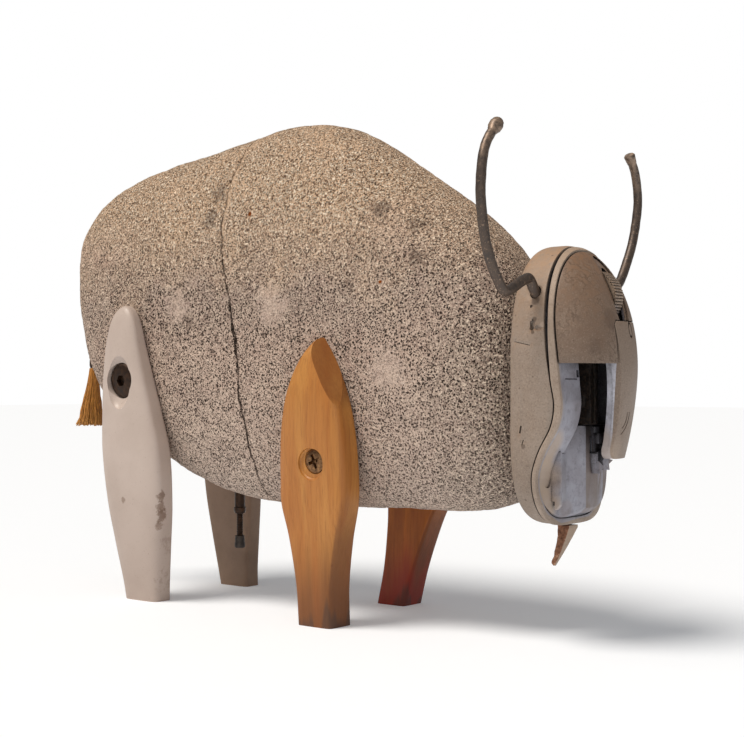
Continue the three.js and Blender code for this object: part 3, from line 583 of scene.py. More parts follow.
legs = {
    "front_right": Leg(wood_leg, -1, 7.8, 0, 1, 1),
    "front_left": Leg(wood_leg, 1, -5.2, 0.2, 0.88, 1),
    "rear_right": Leg(plastic_leg, -1, -115, 0, 1, 1),
    "rear_left": Leg(plastic_leg, 1, -115, -0.12, 0.86, 0.98),
}


def wood(name, light, dark, streak, foot_tone, foot_height, knots):
    """Varnished wood with its grain upright, darker and greyer towards the foot."""
    made, tree, shader, place = new_material(name, roughness=0.42, specular=0.4)
    along = node(tree, "ShaderNodeMapping", {"Vector": place, "Scale": (1, 1, 0.045)})[0]
    bend = noisy(place, 14.0, 2.0)
    bent = along.vector("ADD", node(tree, "ShaderNodeCombineXYZ", {0: bend * 0.004})[0])
    broad = noisy(bent, 130.0, 3.0, 0.5)
    fibres = noisy(bent, 900.0, 4.0, 0.65)
    flecks = noisy(bent, 2600.0, 2.0, 0.5)
    colour = mixed(ramp(broad, 0.35, 0.66), light, dark)
    colour = mixed(ramp(fibres, 0.45, 0.75) * 0.35, colour, streak)
    colour = mixed(ramp(flecks, 0.6, 0.75) * 0.35, colour, streak)
    for centre, radius in knots:
        colour = mixed(patch_mask(place, centre, radius, 1.5) * 0.65, colour, streak)
    low = place.part(2)
    # The forward-facing cut at the tip and the front side of the foot are painted darker: painted shade on
    # faces turned from the light, with some stain.
    shaded_forward_faces = facing(tree, 0, 0.4, 0.66)
    ends = ramp(low, 0.1, 0.106).math("MAXIMUM", ramp(low, 0.062, 0.04))
    colour = mixed(shaded_forward_faces * ends * 0.55, colour, streak)
    low = low + (broad - 0.5) * 0.05
    colour = mixed(ramp(low, foot_height * MM, 4 * MM, "SMOOTHSTEP") * 0.85, colour, foot_tone)
    colour = mixed(ramp(low, 5 * MM, 0.5 * MM) * 0.6, colour, paint(60, 44, 36))
    colour.to(shader, "Base Color")
    (fibres * 0.25 + 0.32).to(shader, "Roughness")
    bumped(shader, fibres + broad * 0.6, 0.35, 0.25 * MM)
    return made


pale_wood = wood("pale_wood", paint(188, 128, 62), paint(168, 101, 42), paint(110, 62, 26),
                 paint(108, 60, 22), 46, [(spot(20.3, -46, 30.7), 1.6), (spot(2, -46, 58), 0.9)])
red_wood = wood("red_wood", paint(172, 96, 24), paint(134, 68, 14), paint(88, 42, 10),
                paint(134, 24, 6), 38, [])


def moulded(name, body, dirt, dirt_share, spots, roughness=0.42):
    """Old moulded plastic: even in colour, cloudy with handling, with smears at given places."""
    made, tree, shader, place = new_material(name, roughness=roughness, specular=0.45)
    clouds = noisy(place, 45.0, 5.0, 0.6)
    specks = noisy(place, 1500.0, 2.0, 0.5)
    colour = mixed(ramp(clouds, 0.42, 0.8) * dirt_share, body, dirt)
    colour = mixed(ramp(specks, 0.66, 0.74) * 0.35, colour, dirt)
    colour = mixed(ramp(place.part(2), 0.07, 0.0) * 0.3, colour, dirt)
    for centre, radius, share in spots:
        smear = patch_mask(place, centre, radius, radius * 2.4)
        colour = mixed(smear * share, colour, dirt)
    colour.to(shader, "Base Color")
    (clouds * 0.3 + (roughness - 0.15)).to(shader, "Roughness")
    bumped(shader, specks + clouds * 0.5, 0.12, 0.12 * MM)
    return made


white_plastic = moulded(
    "white_plastic", paint(194, 177, 166), paint(118, 92, 74), 0.2,
    [(spot(-121, -46, 53), 2, 0.6), (spot(-95.3, -42, 56), 3.6, 0.8), (spot(-96.2, -42, 50.5), 3.8, 0.7),
     (spot(-96, -41, 46), 4.4, 0.8), (spot(-97.4, -42, 41), 3.2, 0.7), (spot(-95.4, -39, 40), 3.4, 0.6),
     (spot(-93.6, -34, 30), 9, 0.3), (spot(-92.6, -34, 12), 12, 0.35)],
)
grey_plastic = moulded("grey_plastic", paint(151, 124, 103), paint(92, 72, 57), 0.5, [], 0.55)


def worn_metal(name, wave, share, tones, base_roughness, roughness, metallic, bump):
    """Dull metal in two tones, unevenly rough."""
    made, tree, shader, place = new_material(name, roughness=roughness, metallic=metallic)
    rub = noisy(place, wave, 4.0, 0.6)
    mixed(ramp(rub, *share), *tones).to(shader, "Base Color")
    (rub * 0.4 + base_roughness).to(shader, "Roughness")
    bumped(shader, rub, bump, 0.1 * MM)
    return made


screw_steel = worn_metal("tarnished_steel", 700.0, (0.35, 0.65), (paint(150, 112, 76), paint(88, 62, 42)),
                         0.2, 0.38, 0.85, 0.3)
bronzed_steel = worn_metal("bronzed_steel", 420.0, (0.4, 0.72), (paint(38, 22, 11), paint(70, 46, 27)),
                           0.25, 0.42, 0.55, 0.25)

# Each leg's finish, and its slot in the record.
leg_looks = {"front_right": (pale_wood, "pale_wood"), "front_left": (red_wood, "red_wood"),
             "rear_right": (white_plastic, "white_plastic"), "rear_left": (grey_plastic, "grey_plastic")}
screw_z = 77.7
bolt_z = 114.7
shank = 32
dish_cut = [(0.5, -3.5), (4, -3.35), (7, -2.7), (9.4, -1.3), (10.8, 0.2), (11.6, 3)]
for place_name, leg in legs.items():
    wooden = leg.table is wood_leg
    z = screw_z if wooden else bolt_z * leg.height
    axis = leg.out()
    sink = 1.4 if wooden else 2.6
    face = spot(leg.centre(z) + (3.4 if wooden else 0), leg.face(z), z)
    seat = face - axis * sink * MM
    form = leg.form(f"{place_name}_leg_skin")
    if wooden:
        # One slanting knife cut takes off the front outer corner of the tip.
        apex = spot(leg.centre(128.3) + 0.4, leg.side * 47, 128.3)
        shoulder = spot(leg.centre(104) + 16.2, leg.side * 47, 104)
        tip = spot(leg.centre(135.2) - 0.3, leg.side * 40.5, 135.2)
        flat = (tip - apex).cross(shoulder - apex).normalized()
        if flat.z < 0:
            flat.negate()
        apex -= flat * 0.6 * MM
        turn = Vector((0, 0, 1)).rotation_difference(flat).to_matrix()
        carve(form, box_at("whittle", (120, 120, 60), apex + flat * 30 * MM, turn))
        pocket_at = seat + Vector((-1.4, 0, -1.2)) * MM - axis * 0.2 * MM
        carve(form, turned("pocket", [(6.6, 0), (7.2, 0.5), (8.4, 6)], pocket_at, axis))
        carve(form, turned("screw_hole", [(3, -12), (3, -3.8), (5.9, -0.5), (5.9, 5)], seat, axis))
        head = [(1, -shank), (2.5, -shank + 6), (2.5, -3.6), (5.3, -0.75), (5.5, -0.5), (5.5, -0.15),
                (5.2, 0.1), (3.3, 0.38), (1, 0.42)]
        screw = turned(f"{place_name}_screw_fine", head, seat, axis)
        turn = Vector((0, 0, 1)).rotation_difference(axis).to_matrix()
        for degrees in (20, 110):
            spin = turn @ Matrix.Rotation(math.radians(degrees), 3, "Z")
            carve(screw, box_at("cross", (6.8, 1.5, 3.4), seat, spin))
        carve(screw, turned("cross_well", [(0.6, -2.2), (1.6, 3)], seat, axis, 16))
        painted(screw, screw_steel)
        smooth_faces(screw, 35)
        fitted(screw, "steel_screw", f"{place_name}_screw")
    else:
        carve(form, stretched(turned("dish", dish_cut, face, axis), face, (0.8, 1, 1.32)))
        carve(form, turned("bolt_hole", [(3.4, -12), (3.4, -1.9), (9.3, -1.9), (9.3, 8)], seat, axis))
        head = [(2, -shank), (3, -shank + 1), (3, -1.6), (8.2, -1.6), (8.8, -1.1), (9, -0.5), (8.6, 0.1),
                (7.6, 0.5), (6.5, 0.85), (3, 1.1), (0.5, 1.1)]
        bolt = turned(f"{place_name}_bolt_fine", head, seat, axis)
        carve(bolt, turned("socket", [(3.1, -1.1), (3.1, 1), (3.5, 4)], seat, axis, 6))
        painted(bolt, bronzed_steel)
        smooth_faces(bolt, 35)
        fitted(bolt, "bronzed_steel", f"{place_name}_bolt")
    finish, slot = leg_looks[place_name]
    painted(form, finish)
    smooth_faces(form, 22 if wooden else 38)
    fitted(form, slot, f"{place_name}_leg")

# The bolt under the belly: a thin threaded bolt that hangs from the stone, with a collar and a
# worn rubber sleeve pushed over its end.
belly_x = -82
belly_top = 73
belly_tip = 27.5
thread_pitch = 0.9
belly_down = Vector((0, 0, -1))
belly_root = spot(belly_x, 0, belly_top)
collar_z = 48.6
collar = belly_top - collar_z
outline = [(0.5, 0.5), (2.7, 0.5), (2.7, collar - 0.3), (3.2, collar), (3.2, collar + 1.6),
           (2.6, collar + 3), (1.5, collar + 3.2)]
reach = collar + 3.2
while reach < belly_top - belly_tip - 2:
    outline += [(1.72, reach + thread_pitch * 0.5), (1.45, reach + thread_pitch)]
    reach += thread_pitch
outline.append((0.5, belly_top - belly_tip - 1.3))
belly = turned("belly_bolt_fine", outline, belly_root, belly_down, 28)
painted(belly, bronzed_steel)
smooth_faces(belly, 35)
fitted(belly, "bronzed_steel", "belly_bolt")

dark_rubber, tree, shader, place = new_material("dark_rubber", roughness=0.6)
rub = noisy(place, 600.0, 4.0, 0.6)
mixed(ramp(rub, 0.4, 0.75), paint(26, 20, 17), paint(66, 54, 44)).to(shader, "Base Color")
bumped(shader, rub, 0.4, 0.2 * MM)
tip = belly_top - belly_tip
sleeve = turned("belly_sleeve_fine",
                [(1.9, tip - 6.3), (2.4, tip - 6.3), (2.55, tip - 4), (2.45, tip - 3.2), (2.7, tip - 2.4),
                 (2.7, tip - 0.6), (2.3, tip), (0.4, tip)], belly_root, belly_down, 28)
painted(sleeve, dark_rubber)
smooth_faces(sleeve, 40)
fitted(sleeve, "dark_plastic", "belly_bolt_sleeve")

# The tail: a small brush of stiff golden bristles in a crimped ferrule, hung on a peg in the rump.
tail_low, tail_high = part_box("tail_bristles")
ferrule_low, ferrule_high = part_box("tail_ferrule")
root_x = (ferrule_low.x + ferrule_high.x) / 2
root_y = (ferrule_low.y + ferrule_high.y) / 2

bristle_hair, tree, shader, place = new_material("bristle_hair", roughness=0.5)
along = node(tree, "ShaderNodeMapping", {"Vector": place, "Scale": (1, 1, 0.05)})[0]
strand = noisy(along, 2600.0, 2.0, 0.6)
colour = mixed(ramp(strand, 0.32, 0.68), paint(126, 74, 24), paint(218, 152, 68))
ends = ramp(place.part(2), tail_low.z + 0.012, tail_low.z)
colour = mixed(ends * 0.5, colour, paint(190, 142, 80))
colour.to(shader, "Base Color")

brush, asked = new_group("tail_brush", "Geometry", {
    "Root width": 2.2 * MM, "Spread": 2.55, "Length": 33 * MM, "Thickness": 0.28 * MM, "Sweep": 3.0 * MM,
    "Hairs": 420, "Seed": 4, "Root": "Vector", "Finish": "Material",
}, "Geometry")
line = node(brush, "GeometryNodeMeshLine", {"Count": asked["Hairs"], "Offset": (0, 0, 0)})
pair = []
for extra in (0, 1):
    seed = node(brush, "FunctionNodeRandomValue", {"Seed": asked["Seed"] + extra}, data_type="FLOAT")
    pair.append(seed[1])
around = pair[0] * (2 * math.pi)
out = pair[1].math("SQRT") * asked["Root width"]
root = node(brush, "ShaderNodeCombineXYZ", {0: around.math("COSINE") * out, 1: around.math("SINE") * out})[0]
placed = node(brush, "GeometryNodeSetPosition", {"Geometry": line[0], "Position": root})
hair_line = node(brush, "GeometryNodeCurvePrimitiveLine", {"Start": (0, 0, 0), "End": (0, 0, -1)})
hair_steps = node(brush, "GeometryNodeResampleCurve", {"Curve": hair_line[0], "Count": 9})
hair_round = node(brush, "GeometryNodeCurvePrimitiveCircle", {"Resolution": 4, "Radius": 1.0})
hair_seed = asked["Seed"] + 7
lengths = node(brush, "FunctionNodeRandomValue", {2: 0.9, 3: 1.0, "Seed": hair_seed}, data_type="FLOAT")
thin = asked["Thickness"]
tall = asked["Length"] * lengths[1]
hair_mesh = node(brush, "GeometryNodeCurveToMesh", {
    "Curve": hair_steps[0], "Profile Curve": hair_round[0], "Fill Caps": True,
})
hair_size = node(brush, "ShaderNodeCombineXYZ", {0: thin, 1: thin, 2: tall})
planted = node(brush, "GeometryNodeInstanceOnPoints", {
    "Points": placed[0], "Instance": hair_mesh[0], "Scale": hair_size[0],
})
where = node(brush, "GeometryNodeInputPosition")[0]
kept_root = node(
    brush, "GeometryNodeStoreNamedAttribute", {"Geometry": planted[0], "Name": "root", "Value": where},
    data_type="FLOAT_VECTOR", domain="INSTANCE",
)
real = node(brush, "GeometryNodeRealizeInstances", {0: kept_root[0]})
from_root = node(brush, "GeometryNodeInputNamedAttribute", {"Name": "root"}, data_type="FLOAT_VECTOR")[0]
share = where.part(2) * -1.0 / asked["Length"]
widen = share ** 1.2 * asked["Spread"]
fan = from_root.scaled(widen)
curl = node(brush, "ShaderNodeTexNoise", {"Vector": where, "Scale": 160.0, "Detail": 1.0})["Color"]
curl = curl.vector("SUBTRACT", (0.5, 0.5, 0.5)).scaled(share * (3.2 * MM))
swing = node(brush, "ShaderNodeCombineXYZ", {0: share ** 1.3 * asked["Sweep"] * -1.0})[0]
bend = fan.vector("ADD", curl).vector("ADD", swing).vector("ADD", asked["Root"])
fanned = node(brush, "GeometryNodeSetPosition", {"Geometry": real[0], "Offset": bend})
dressed = node(brush, "GeometryNodeSetMaterial", {"Geometry": fanned[0], "Material": asked["Finish"]})
node(brush, "NodeGroupOutput", {0: dressed[0]})
tuft = piece_of("tail_tuft", bpy.data.meshes.new("tail_tuft"))
grown(tuft, brush, Root=(root_x, root_y, tail_high.z + 0.0004), Finish=bristle_hair)
fitted(tuft, "bristle", "tail_bristles")

ferrule = copy_of("tail_ferrule", "tail_ferrule_crimped")
modified(ferrule, "SUBSURF", levels=1, render_levels=1)
settled(ferrule)
painted(ferrule, bronzed_steel)
smooth_faces(ferrule, 40)
fitted(ferrule, "bronzed_steel", "tail_ferrule")

# The peg is a plain moulded pin, so it keeps its construction solid.
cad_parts["tail_peg"].material_slots[0].material = white_plastic

# The head: the plastic case of an old hand-held device, stood on end with its base on the chest.
# It has a lower shell, a band between two seams, and what is left of the snapped-on cover.
case_x = chest + 0.3
case_y = -5
case_low, case_top = 52.8, 172.5
case_half = 30
case_wall = 2
mid_u = 12
base_depth, crown_height = 12.4, 27.6
palm_z, grip_z = 120, 95
far_y, near_y = case_y + 60, case_y - 60
seam = 0.9
crown_square, base_square = 2.5, 8  # how square the case's outline is towards its crown and its base
# The edges of the shell and the width of the band, at heights.
shell_seam = [
    (48.8, 10.6), (64, 10.7), (70, 11), (76, 12), (85, 15.6), (95, 20.8), (104, 22.4), (113, 21.2),
    (126, 19.2), (139, 17.2), (152, 15.9), (162, 15.4), (176.5, 15.4),
]
band_width = [(48.8, 2.3), (70, 2.4), (85, 2.8), (104, 3.1), (126, 4.4), (176.5, 5)]


def rounded(share, bend):
    """What is left of a rounded end at a share of the way to its tip."""
    return max(0, 1 - share**bend) ** (1 / bend)


def case_width(z, far=False):
    """The far lower corner is a little squarer than the near one."""
    if z > palm_z:
        return case_half * rounded((z - palm_z) / (case_top - palm_z), 2.25)
    return case_half * (rounded((grip_z - z) / (grip_z - case_low), 4.8 if far else 2.9) if z < grip_z else 1)


def case_crown(z):
    if z > palm_z:
        return crown_height * rounded((z - palm_z) / (case_top - palm_z), 1.95)
    return crown_height * rounded((palm_z - z) / (palm_z - case_low), 1.65)


def case_base(z):
    half = (case_top - case_low) / 2
    return base_depth * rounded(min(abs(z - case_low - half) / half, 1), 5)


def in_case(u, y, z):
    """A place of the frame, from the millimetres in front of the case's base."""
    return spot(case_x + u, y, z)


def case_box(u0, u1, y0, y1, z0, z1):
    middle = in_case((u0 + u1) / 2, (y0 + y1) / 2, (z0 + z1) / 2)
    return box_at("case_box", (u1 - u0, y1 - y0, z1 - z0), middle)


def case_form(inset=0, levels=84, sides=112):
    """The whole case as one rounded solid, or its inside at a wall's depth."""
    height = case_top - case_low
    rings = []
    for k in range(levels):
        share = (1 - math.cos(math.pi * (k + 0.45) / (levels - 0.1))) / 2
        z = case_low + share * height
        widths = [case_width(z, far) * (1 - inset / case_half) for far in (False, True)]
        ring = []
        for i in range(sides):
            angle = 2 * math.pi * (i + 0.5) / sides
            outer = math.sin(angle) > 0
            bend = 2 / (crown_square if outer else base_square)
            reach = case_crown(z) if outer else case_base(z)
            reach *= 1 - inset / (crown_height if outer else base_depth)
            u = mid_u + reach * power(math.sin(angle), bend)
            y = case_y + widths[math.cos(angle) > 0] * power(math.cos(angle), bend)
            ring.append(in_case(u, y, case_low + inset + share * (height - 2 * inset)))
        rings.append(ring)
    return carve(loft("case_form", rings), case_box(-40, inset, near_y, far_y, 0, 200))


def prism(outline, run):
    """A drawn outline carried along a run."""
    made = loft("prism", [outline, [point + run for point in outline]])
    edit = bmesh.new()
    edit.from_mesh(made.data)
    bmesh.ops.triangulate(edit, faces=[face for face in edit.faces if len(face.verts) > 4])
    edit.to_mesh(made.data)
    edit.free()
    return made


def slab(low, high):
    """All that lies between two curves of the depth over the height, right across the case."""
    heights = [case_low - 3 + (case_top - case_low + 6) * k / 80 for k in range(81)]
    edge = [(low(z), z) for z in heights] + [(high(z), z) for z in reversed(heights)]
    return prism([in_case(u, near_y, z) for u, z in edge], Vector((0, (far_y - near_y) * MM, 0)))


def upright(outline, u0=-5, u1=60):
    """An outline of sideways and upward places, carried through the case from base to crown."""
    return prism([in_case(u0, y, z) for y, z in outline], Vector(((u1 - u0) * MM, 0, 0)))


shell_lip = [(126, 0), (143, 0.6), (176, 0.8)]
seam_gape = [(115, 0), (126, 0.8), (143, 1.9), (176, 1.7)]


def shell_edge(z):
    return between(shell_seam, z)


def band_high(z):
    return shell_edge(z) + between(band_width, z)


def eased(piece, width=0.3, angle=32):
    """Takes the sharpness off the edges, as moulding and wear do."""
    edit = bmesh.new()
    edit.from_mesh(piece.data)
    bmesh.ops.remove_doubles(edit, verts=edit.verts, dist=0.004 * MM)
    bmesh.ops.dissolve_degenerate(edit, dist=0.004 * MM, edges=edit.edges)
    bmesh.ops.dissolve_limit(edit, angle_limit=math.radians(1.2), verts=edit.verts, edges=edit.edges)
    edit.to_mesh(piece.data)
    edit.free()
    modified(piece, "BEVEL", width=width * MM, segments=2, limit_method="ANGLE",
             angle_limit=math.radians(angle), use_clamp_overlap=True, loop_slide=True)
    return settled(piece)


def depth_marked(piece):
    """Keeps on the mesh how deep under the case's outer skin each point lies, in millimetres."""
    kept = piece.data.attributes.new("depth", "FLOAT", "POINT")
    for vertex, mark in zip(piece.data.vertices, kept.data):
        x, y, z = drawn(vertex.co)
        u = x - case_x
        outer = u > mid_u
        reach = max(case_crown(z) if outer else case_base(z), 0.1)
        bend = crown_square if outer else base_square
        across = max(case_width(min(max(z, case_low), case_top), y > case_y), 0.1)
        full = (abs(y - case_y) / across) ** bend + (abs(u - mid_u) / reach) ** bend
        mark.value = max(0, (1 - full ** (1 / bend)) * min(across, reach))
    return piece


# Seams and corners are darkened with grime and painted shade, found by occlusion, and the inside of a hollow
# is painted nearly black as painted shadow.
grime_and_shade, asked = new_group("grime_and_shade", "Shader", {
    "Color": "Color", "Dirt": "Color", "Vector": "Vector", "Seam": "Float", "Hollow shade": "Float",
}, "Color")
close = node(grime_and_shade, "ShaderNodeAmbientOcclusion", {"Distance": 1.8 * MM}, samples=6)["AO"]
wide = node(grime_and_shade, "ShaderNodeAmbientOcclusion", {"Distance": 26 * MM}, samples=6)["AO"]
uneven = noisy(asked["Vector"], 380.0, 4.0, 0.65)
seam_grime_and_shade = ramp(close, 0.86, 0.42) * ramp(uneven, 0.1, 0.4) * asked["Seam"]
hollow_shade = ramp(wide, 0.47, 0.2) * asked["Hollow shade"]
soiled_and_shaded = mixed(seam_grime_and_shade, asked["Color"], asked["Dirt"])
soiled_and_shaded = mixed(hollow_shade, soiled_and_shaded, paint(6, 5, 4))
node(grime_and_shade, "NodeGroupOutput", {0: soiled_and_shaded})


def soil(place, colour, dirt, hollow, seam_share=0.9):
    inputs = {"Color": colour, "Dirt": dirt, "Vector": place, "Seam": seam_share, "Hollow shade": hollow}
    return node(place.tree, "ShaderNodeGroup", inputs, node_tree=grime_and_shade)[0]


def case_plastic(name, outside, inside, dust, dust_share, marks, hollow=0.9, crackle=0.0, left=0.0):
    """Yellowed case plastic, bluish inside, with brown dust on top, fine specks and dark marks."""
    made, tree, shader, place = new_material(name, roughness=0.5, specular=0.35)
    depth = node(tree, "ShaderNodeAttribute", attribute_name="depth")["Fac"]
    clouds = noisy(place, 60.0, 5.0, 0.62)
    streaks = noisy(place, 330.0, 6.0, 0.7)
    specks = node(tree, "ShaderNodeTexVoronoi", {"Vector": place, "Scale": 300.0})
    speck_chance = node(tree, "ShaderNodeSeparateColor", {"Color": specks["Color"]})[0]
    speck = ramp(specks["Distance"] - ramp(speck_chance, 0.72, 1.0) * 0.16, 0.02, -0.03)
    grain = noisy(place, 1500.0, 2.0, 0.6)
    skin = mixed(ramp(clouds, 0.3, 0.75), outside, paint(136, 119, 105))
    skin = layered(
        skin,
        (ramp(streaks, 0.52, 0.72) * 0.3, 108, 90, 76),
        (ramp(grain, 0.54, 0.7) * 0.4, 92, 75, 62),
        (ramp(grain, 0.44, 0.3) * 0.2, 196, 178, 162),
    )
    fibres = noisy(place, 330.0, 2.5, 0.55) - 0.5
    hairs = ramp(abs(fibres), 0.05, 0.01) * crackle * ramp(clouds, 0.44, 0.6)
    skin = mixed(facing(tree, 2, -0.05, 0.8) * dust_share * ramp(streaks, 0.2, 0.6), skin, dust)
    skin = layered(
        skin,
        (hairs, 62, 46, 35),
        (speck * 0.6, 86, 68, 54),
    )
    under = mixed(ramp(clouds, 0.35, 0.75), inside, paint(128, 122, 126))
    under = mixed(ramp(streaks, 0.5, 0.7) * 0.5, under, paint(92, 84, 84))
    colour = mixed(ramp(depth, 0.9, 1.5), skin, under)
    # Faces turned to the bull's left, on its left half, are painted browner and darker: painted shade on the
    # plate's far slope, partly loam.
    shaded_left_half = ramp(place.part(1), middle_y - 3 * MM, middle_y)
    colour = mixed(facing(tree, 1, 0.02, 0.12) * left * shaded_left_half, colour, paint(112, 94, 82))
    for centre, radius, share, tone in marks:
        smear = patch_mask(place, centre, radius, 3.5 if radius > 6 else radius * 1.2)
        colour = mixed(smear * share, colour, tone)
    # Seam grime with painted shade, and a nearly black painted shadow inside hollows.
    colour = soil(place, colour, paint(34, 24, 19), hollow)
    colour.to(shader, "Base Color")
    (clouds * 0.35 + 0.34).to(shader, "Roughness")
    bumped(shader, streaks * 0.4 - speck, 0.3, 0.15 * MM)
    return made


def near_side(u, z):
    """A place on the skin of the case's near side wall."""
    return in_case(u, case_y - case_width(z), z)


soot, loam, yellowed = paint(58, 42, 33), paint(118, 96, 80), paint(176, 156, 138)
case_beige = case_plastic(
    "case_beige", paint(152, 138, 126), paint(166, 162, 168), paint(172, 136, 104), 0.85,
    [(near_side(25.4, 142), 1.7, 0.85, soot), (near_side(28.6, 144.4), 1, 0.6, soot),
     (near_side(13, 139.8), 1.6, 0.6, soot), (near_side(12.6, 134.6), 1.2, 0.6, soot),
     (near_side(10.8, 145.5), 0.8, 0.8, soot), (near_side(12.4, 148), 2.6, 0.6, soot),
     (near_side(8.4, 87), 1.2, 0.5, soot), (near_side(17, 137.5), 1.6, 0.7, yellowed)],
)
# The band's plastic is a lighter copy of the shell's: a painted highlight along the bead.
case_band_lightened = case_plastic(
    "case_band_lightened", paint(170, 152, 137), paint(166, 162, 168), paint(190, 162, 136), 0.6, [],
)
case_button = case_plastic(
    "case_button", paint(140, 122, 108), paint(226, 226, 236), paint(150, 122, 98), 0.7,
    [(in_case(34, -7, 136), 4, 0.3, soot), (in_case(24, -4, 86), 14, 0.6, yellowed)], hollow=0.1,
)
case_cover = case_plastic(
    "case_cover", paint(112, 93, 79), paint(140, 134, 138), paint(134, 101, 75), 0.95,
    [(in_case(26.5, -32, 142.4), 1.6, 0.8, soot), (in_case(30, -31, 144.6), 1.2, 0.6, soot),
     (in_case(38, -12, 140), 6, 0.25, soot), (in_case(34, -22, 128), 5, 0.2, soot)], crackle=0.5,
)
case_grey = case_plastic(
    "case_grey", paint(154, 145, 143), paint(163, 163, 174), paint(140, 122, 106), 0.4,
    [(in_case(17, 2, 59), 4, 0.4, loam), (in_case(12, -27, 62), 11, 0.85, yellowed),
     (in_case(13, -29, 74), 12, 0.85, yellowed), (in_case(19, -31, 86), 11, 0.75, yellowed),
     (in_case(15, -12, 60), 5, 0.3, loam)], left=0.75,
)


def cased(piece, finish, slot, *parts, sharp=28):
    piece.name = f"{parts[0]}_worn"
    painted(piece, finish)
    smooth_faces(depth_marked(piece), sharp)
    fitted(piece, slot, *parts)


# The horns: two bent rods of dark scuffed metal, pushed through the shell's side walls and held
# there by their hooked ends. The near one ends in a ringed knob, the far one in a flared foot.
horn_u = 11.7
horn_low, horn_high = 151, 219
rod = 2.25
# How far out from the case's side, and what share of the rise.
horn_bends = {
    "right": [(-9, -0.05), (-3.5, 0.02), (0.6, 0.085), (5, 0.07), (18.5, -0.005), (24.4, 0.068),
              (28.7, 0.157), (32.3, 0.265), (35, 0.43), (36, 0.6), (32.9, 0.83), (23.2, 1)],
    "left": [(-7, -0.05), (-1, 0), (9, 0.06), (16.4, 0.125), (23.8, 0.275), (28.9, 0.41),
             (32.7, 0.58), (34, 0.71), (31.4, 0.88), (25.6, 1)],
}
horn_metal, tree, shader, place = new_material("horn_metal", roughness=0.42, metallic=0.5)
rub = noisy(place, 300.0, 5.0, 0.65)
scrape = noisy(place, 1100.0, 3.0, 0.6)
colour = mixed(ramp(rub, 0.35, 0.75), paint(72, 63, 58), paint(100, 84, 72))
tips = ramp(place.part(2), 0.196, 0.219)
colour = layered(
    colour,
    (tips * ramp(rub, 0.35, 0.6), 166, 142, 122),
    (ramp(scrape, 0.6, 0.72), 150, 126, 106),
)
colour.to(shader, "Base Color")
(rub * 0.4 + 0.25).to(shader, "Roughness")
bumped(shader, rub, 0.35, 0.2 * MM)


def horn_form(name, grow=0, steps=150, sides=20):
    way = -1 if name == "right" else 1
    path, run = [], 0
    for out, rise in horn_bends[name]:
        place = Vector((0, case_y + way * (case_half + out), horn_low + rise * (horn_high - horn_low)))
        run += (place - Vector((0, *path[-1][1:]))).length if path else 0
        path.append((run, place.y, place.z))
    rings = []
    for k in range(steps + 1):
        t = k / steps
        at = Vector((case_x + horn_u, between(path, t * run, 1), between(path, t * run, 2)))
        ahead = Vector((at.x, between(path, t * run + 0.4, 1), between(path, t * run + 0.4, 2)))
        behind = Vector((at.x, between(path, t * run - 0.4, 1), between(path, t * run - 0.4, 2)))
        along = (ahead - behind).normalized()
        across = Vector((1, 0, 0))
        other = along.cross(across)
        thick = rod * (1 - 0.12 * t) + 0.1 * noise.noise(Vector((t * 30, way, 0)))
        if name == "right" and t > 0.945:
            thick = rod * (1.28 if 0.955 < t < 0.985 else 1.08) + 0.12 * math.sin(t * 900)
        if name == "left" and t > 0.95:
            thick = rod * (0.95 + 5 * (t - 0.95))
        if t == 1:
            thick *= 0.8
        thick += grow
        ring = []
        for i in range(sides):
            angle = 2 * math.pi * i / sides
            point = at + across * thick * math.cos(angle) + other * thick * math.sin(angle)
            ring.append(spot(*point))
        rings.append(ring)
    return loft(f"{name}_horn_rod", rings)


for side in ("right", "left"):
    horn = horn_form(side)
    painted(horn, horn_metal)
    smooth_faces(horn, 50)
    fitted(horn, "horn_metal", f"{side}_horn")

# The shell: a moulded cup with a chipped pock, scratches and the two ragged holes for the horns.
shell = case_form()
carve(shell, slab(lambda z: -8, lambda z: shell_edge(z) - 0.25 + between(shell_lip, z)), "INTERSECT")
carve(shell, case_form(case_wall))
for side in ("right", "left"):
    carve(shell, horn_form(side, 0.45, 60, 12))


def spike_form(name):
    """The blade without the front of its root, which is hidden behind the shell's lip."""
    form = copy_of("chin_spike", name)
    return carve(form, case_box(9.2, 60, near_y, far_y, case_low - 0.9, 90))


def spike_room():
    room = spike_form("spike_room")
    middle = sum((vertex.co for vertex in room.data.vertices), Vector()) / len(room.data.vertices)
    for vertex in room.data.vertices:
        vertex.co += (vertex.co - middle).normalized() * 0.4 * MM
    return room


carve(shell, spike_room())


def pock(at, size, seed):
    """An uneven chipped hollow."""
    edit = bmesh.new()
    bmesh.ops.create_icosphere(edit, subdivisions=3, radius=1)
    for vertex in edit.verts:
        swell = 1 + 0.5 * noise.noise(vertex.co * 1.7 + Vector((seed, 0, 0)))
        moved = vertex.co * swell
        vertex.co = at + Vector((moved.x * size[0], moved.y * size[1], moved.z * size[2])) * MM
    mesh = bpy.data.meshes.new("pock")
    edit.to_mesh(mesh)
    edit.free()
    return piece_of("pock", mesh)


carve(shell, pock(near_side(12.2, 137.6), (1.3, 1.1, 2.7), 1))
carve(shell, pock(near_side(15.2, 136.2), (2.2, 0.8, 1.1), 4))
# Nicks and a scratch: the place on the near side, the size, and the lean in degrees.
nicks = [(7.2, 94, (0.8, 1.2, 3.2), 12), (8.2, 88.6, (0.4, 1, 2.4), 20),
         (7.4, 130, (8.6, 0.6, 0.3), 12), (10.6, 145.4, (0.7, 1, 1.1), 0)]
for u, z, size, degrees in nicks:
    carve(shell, box_at("nick", size, near_side(u, z), Matrix.Rotation(math.radians(degrees), 3, "Y")))
cased(eased(shell, 0.22), case_beige, "case_beige", "head_shell")

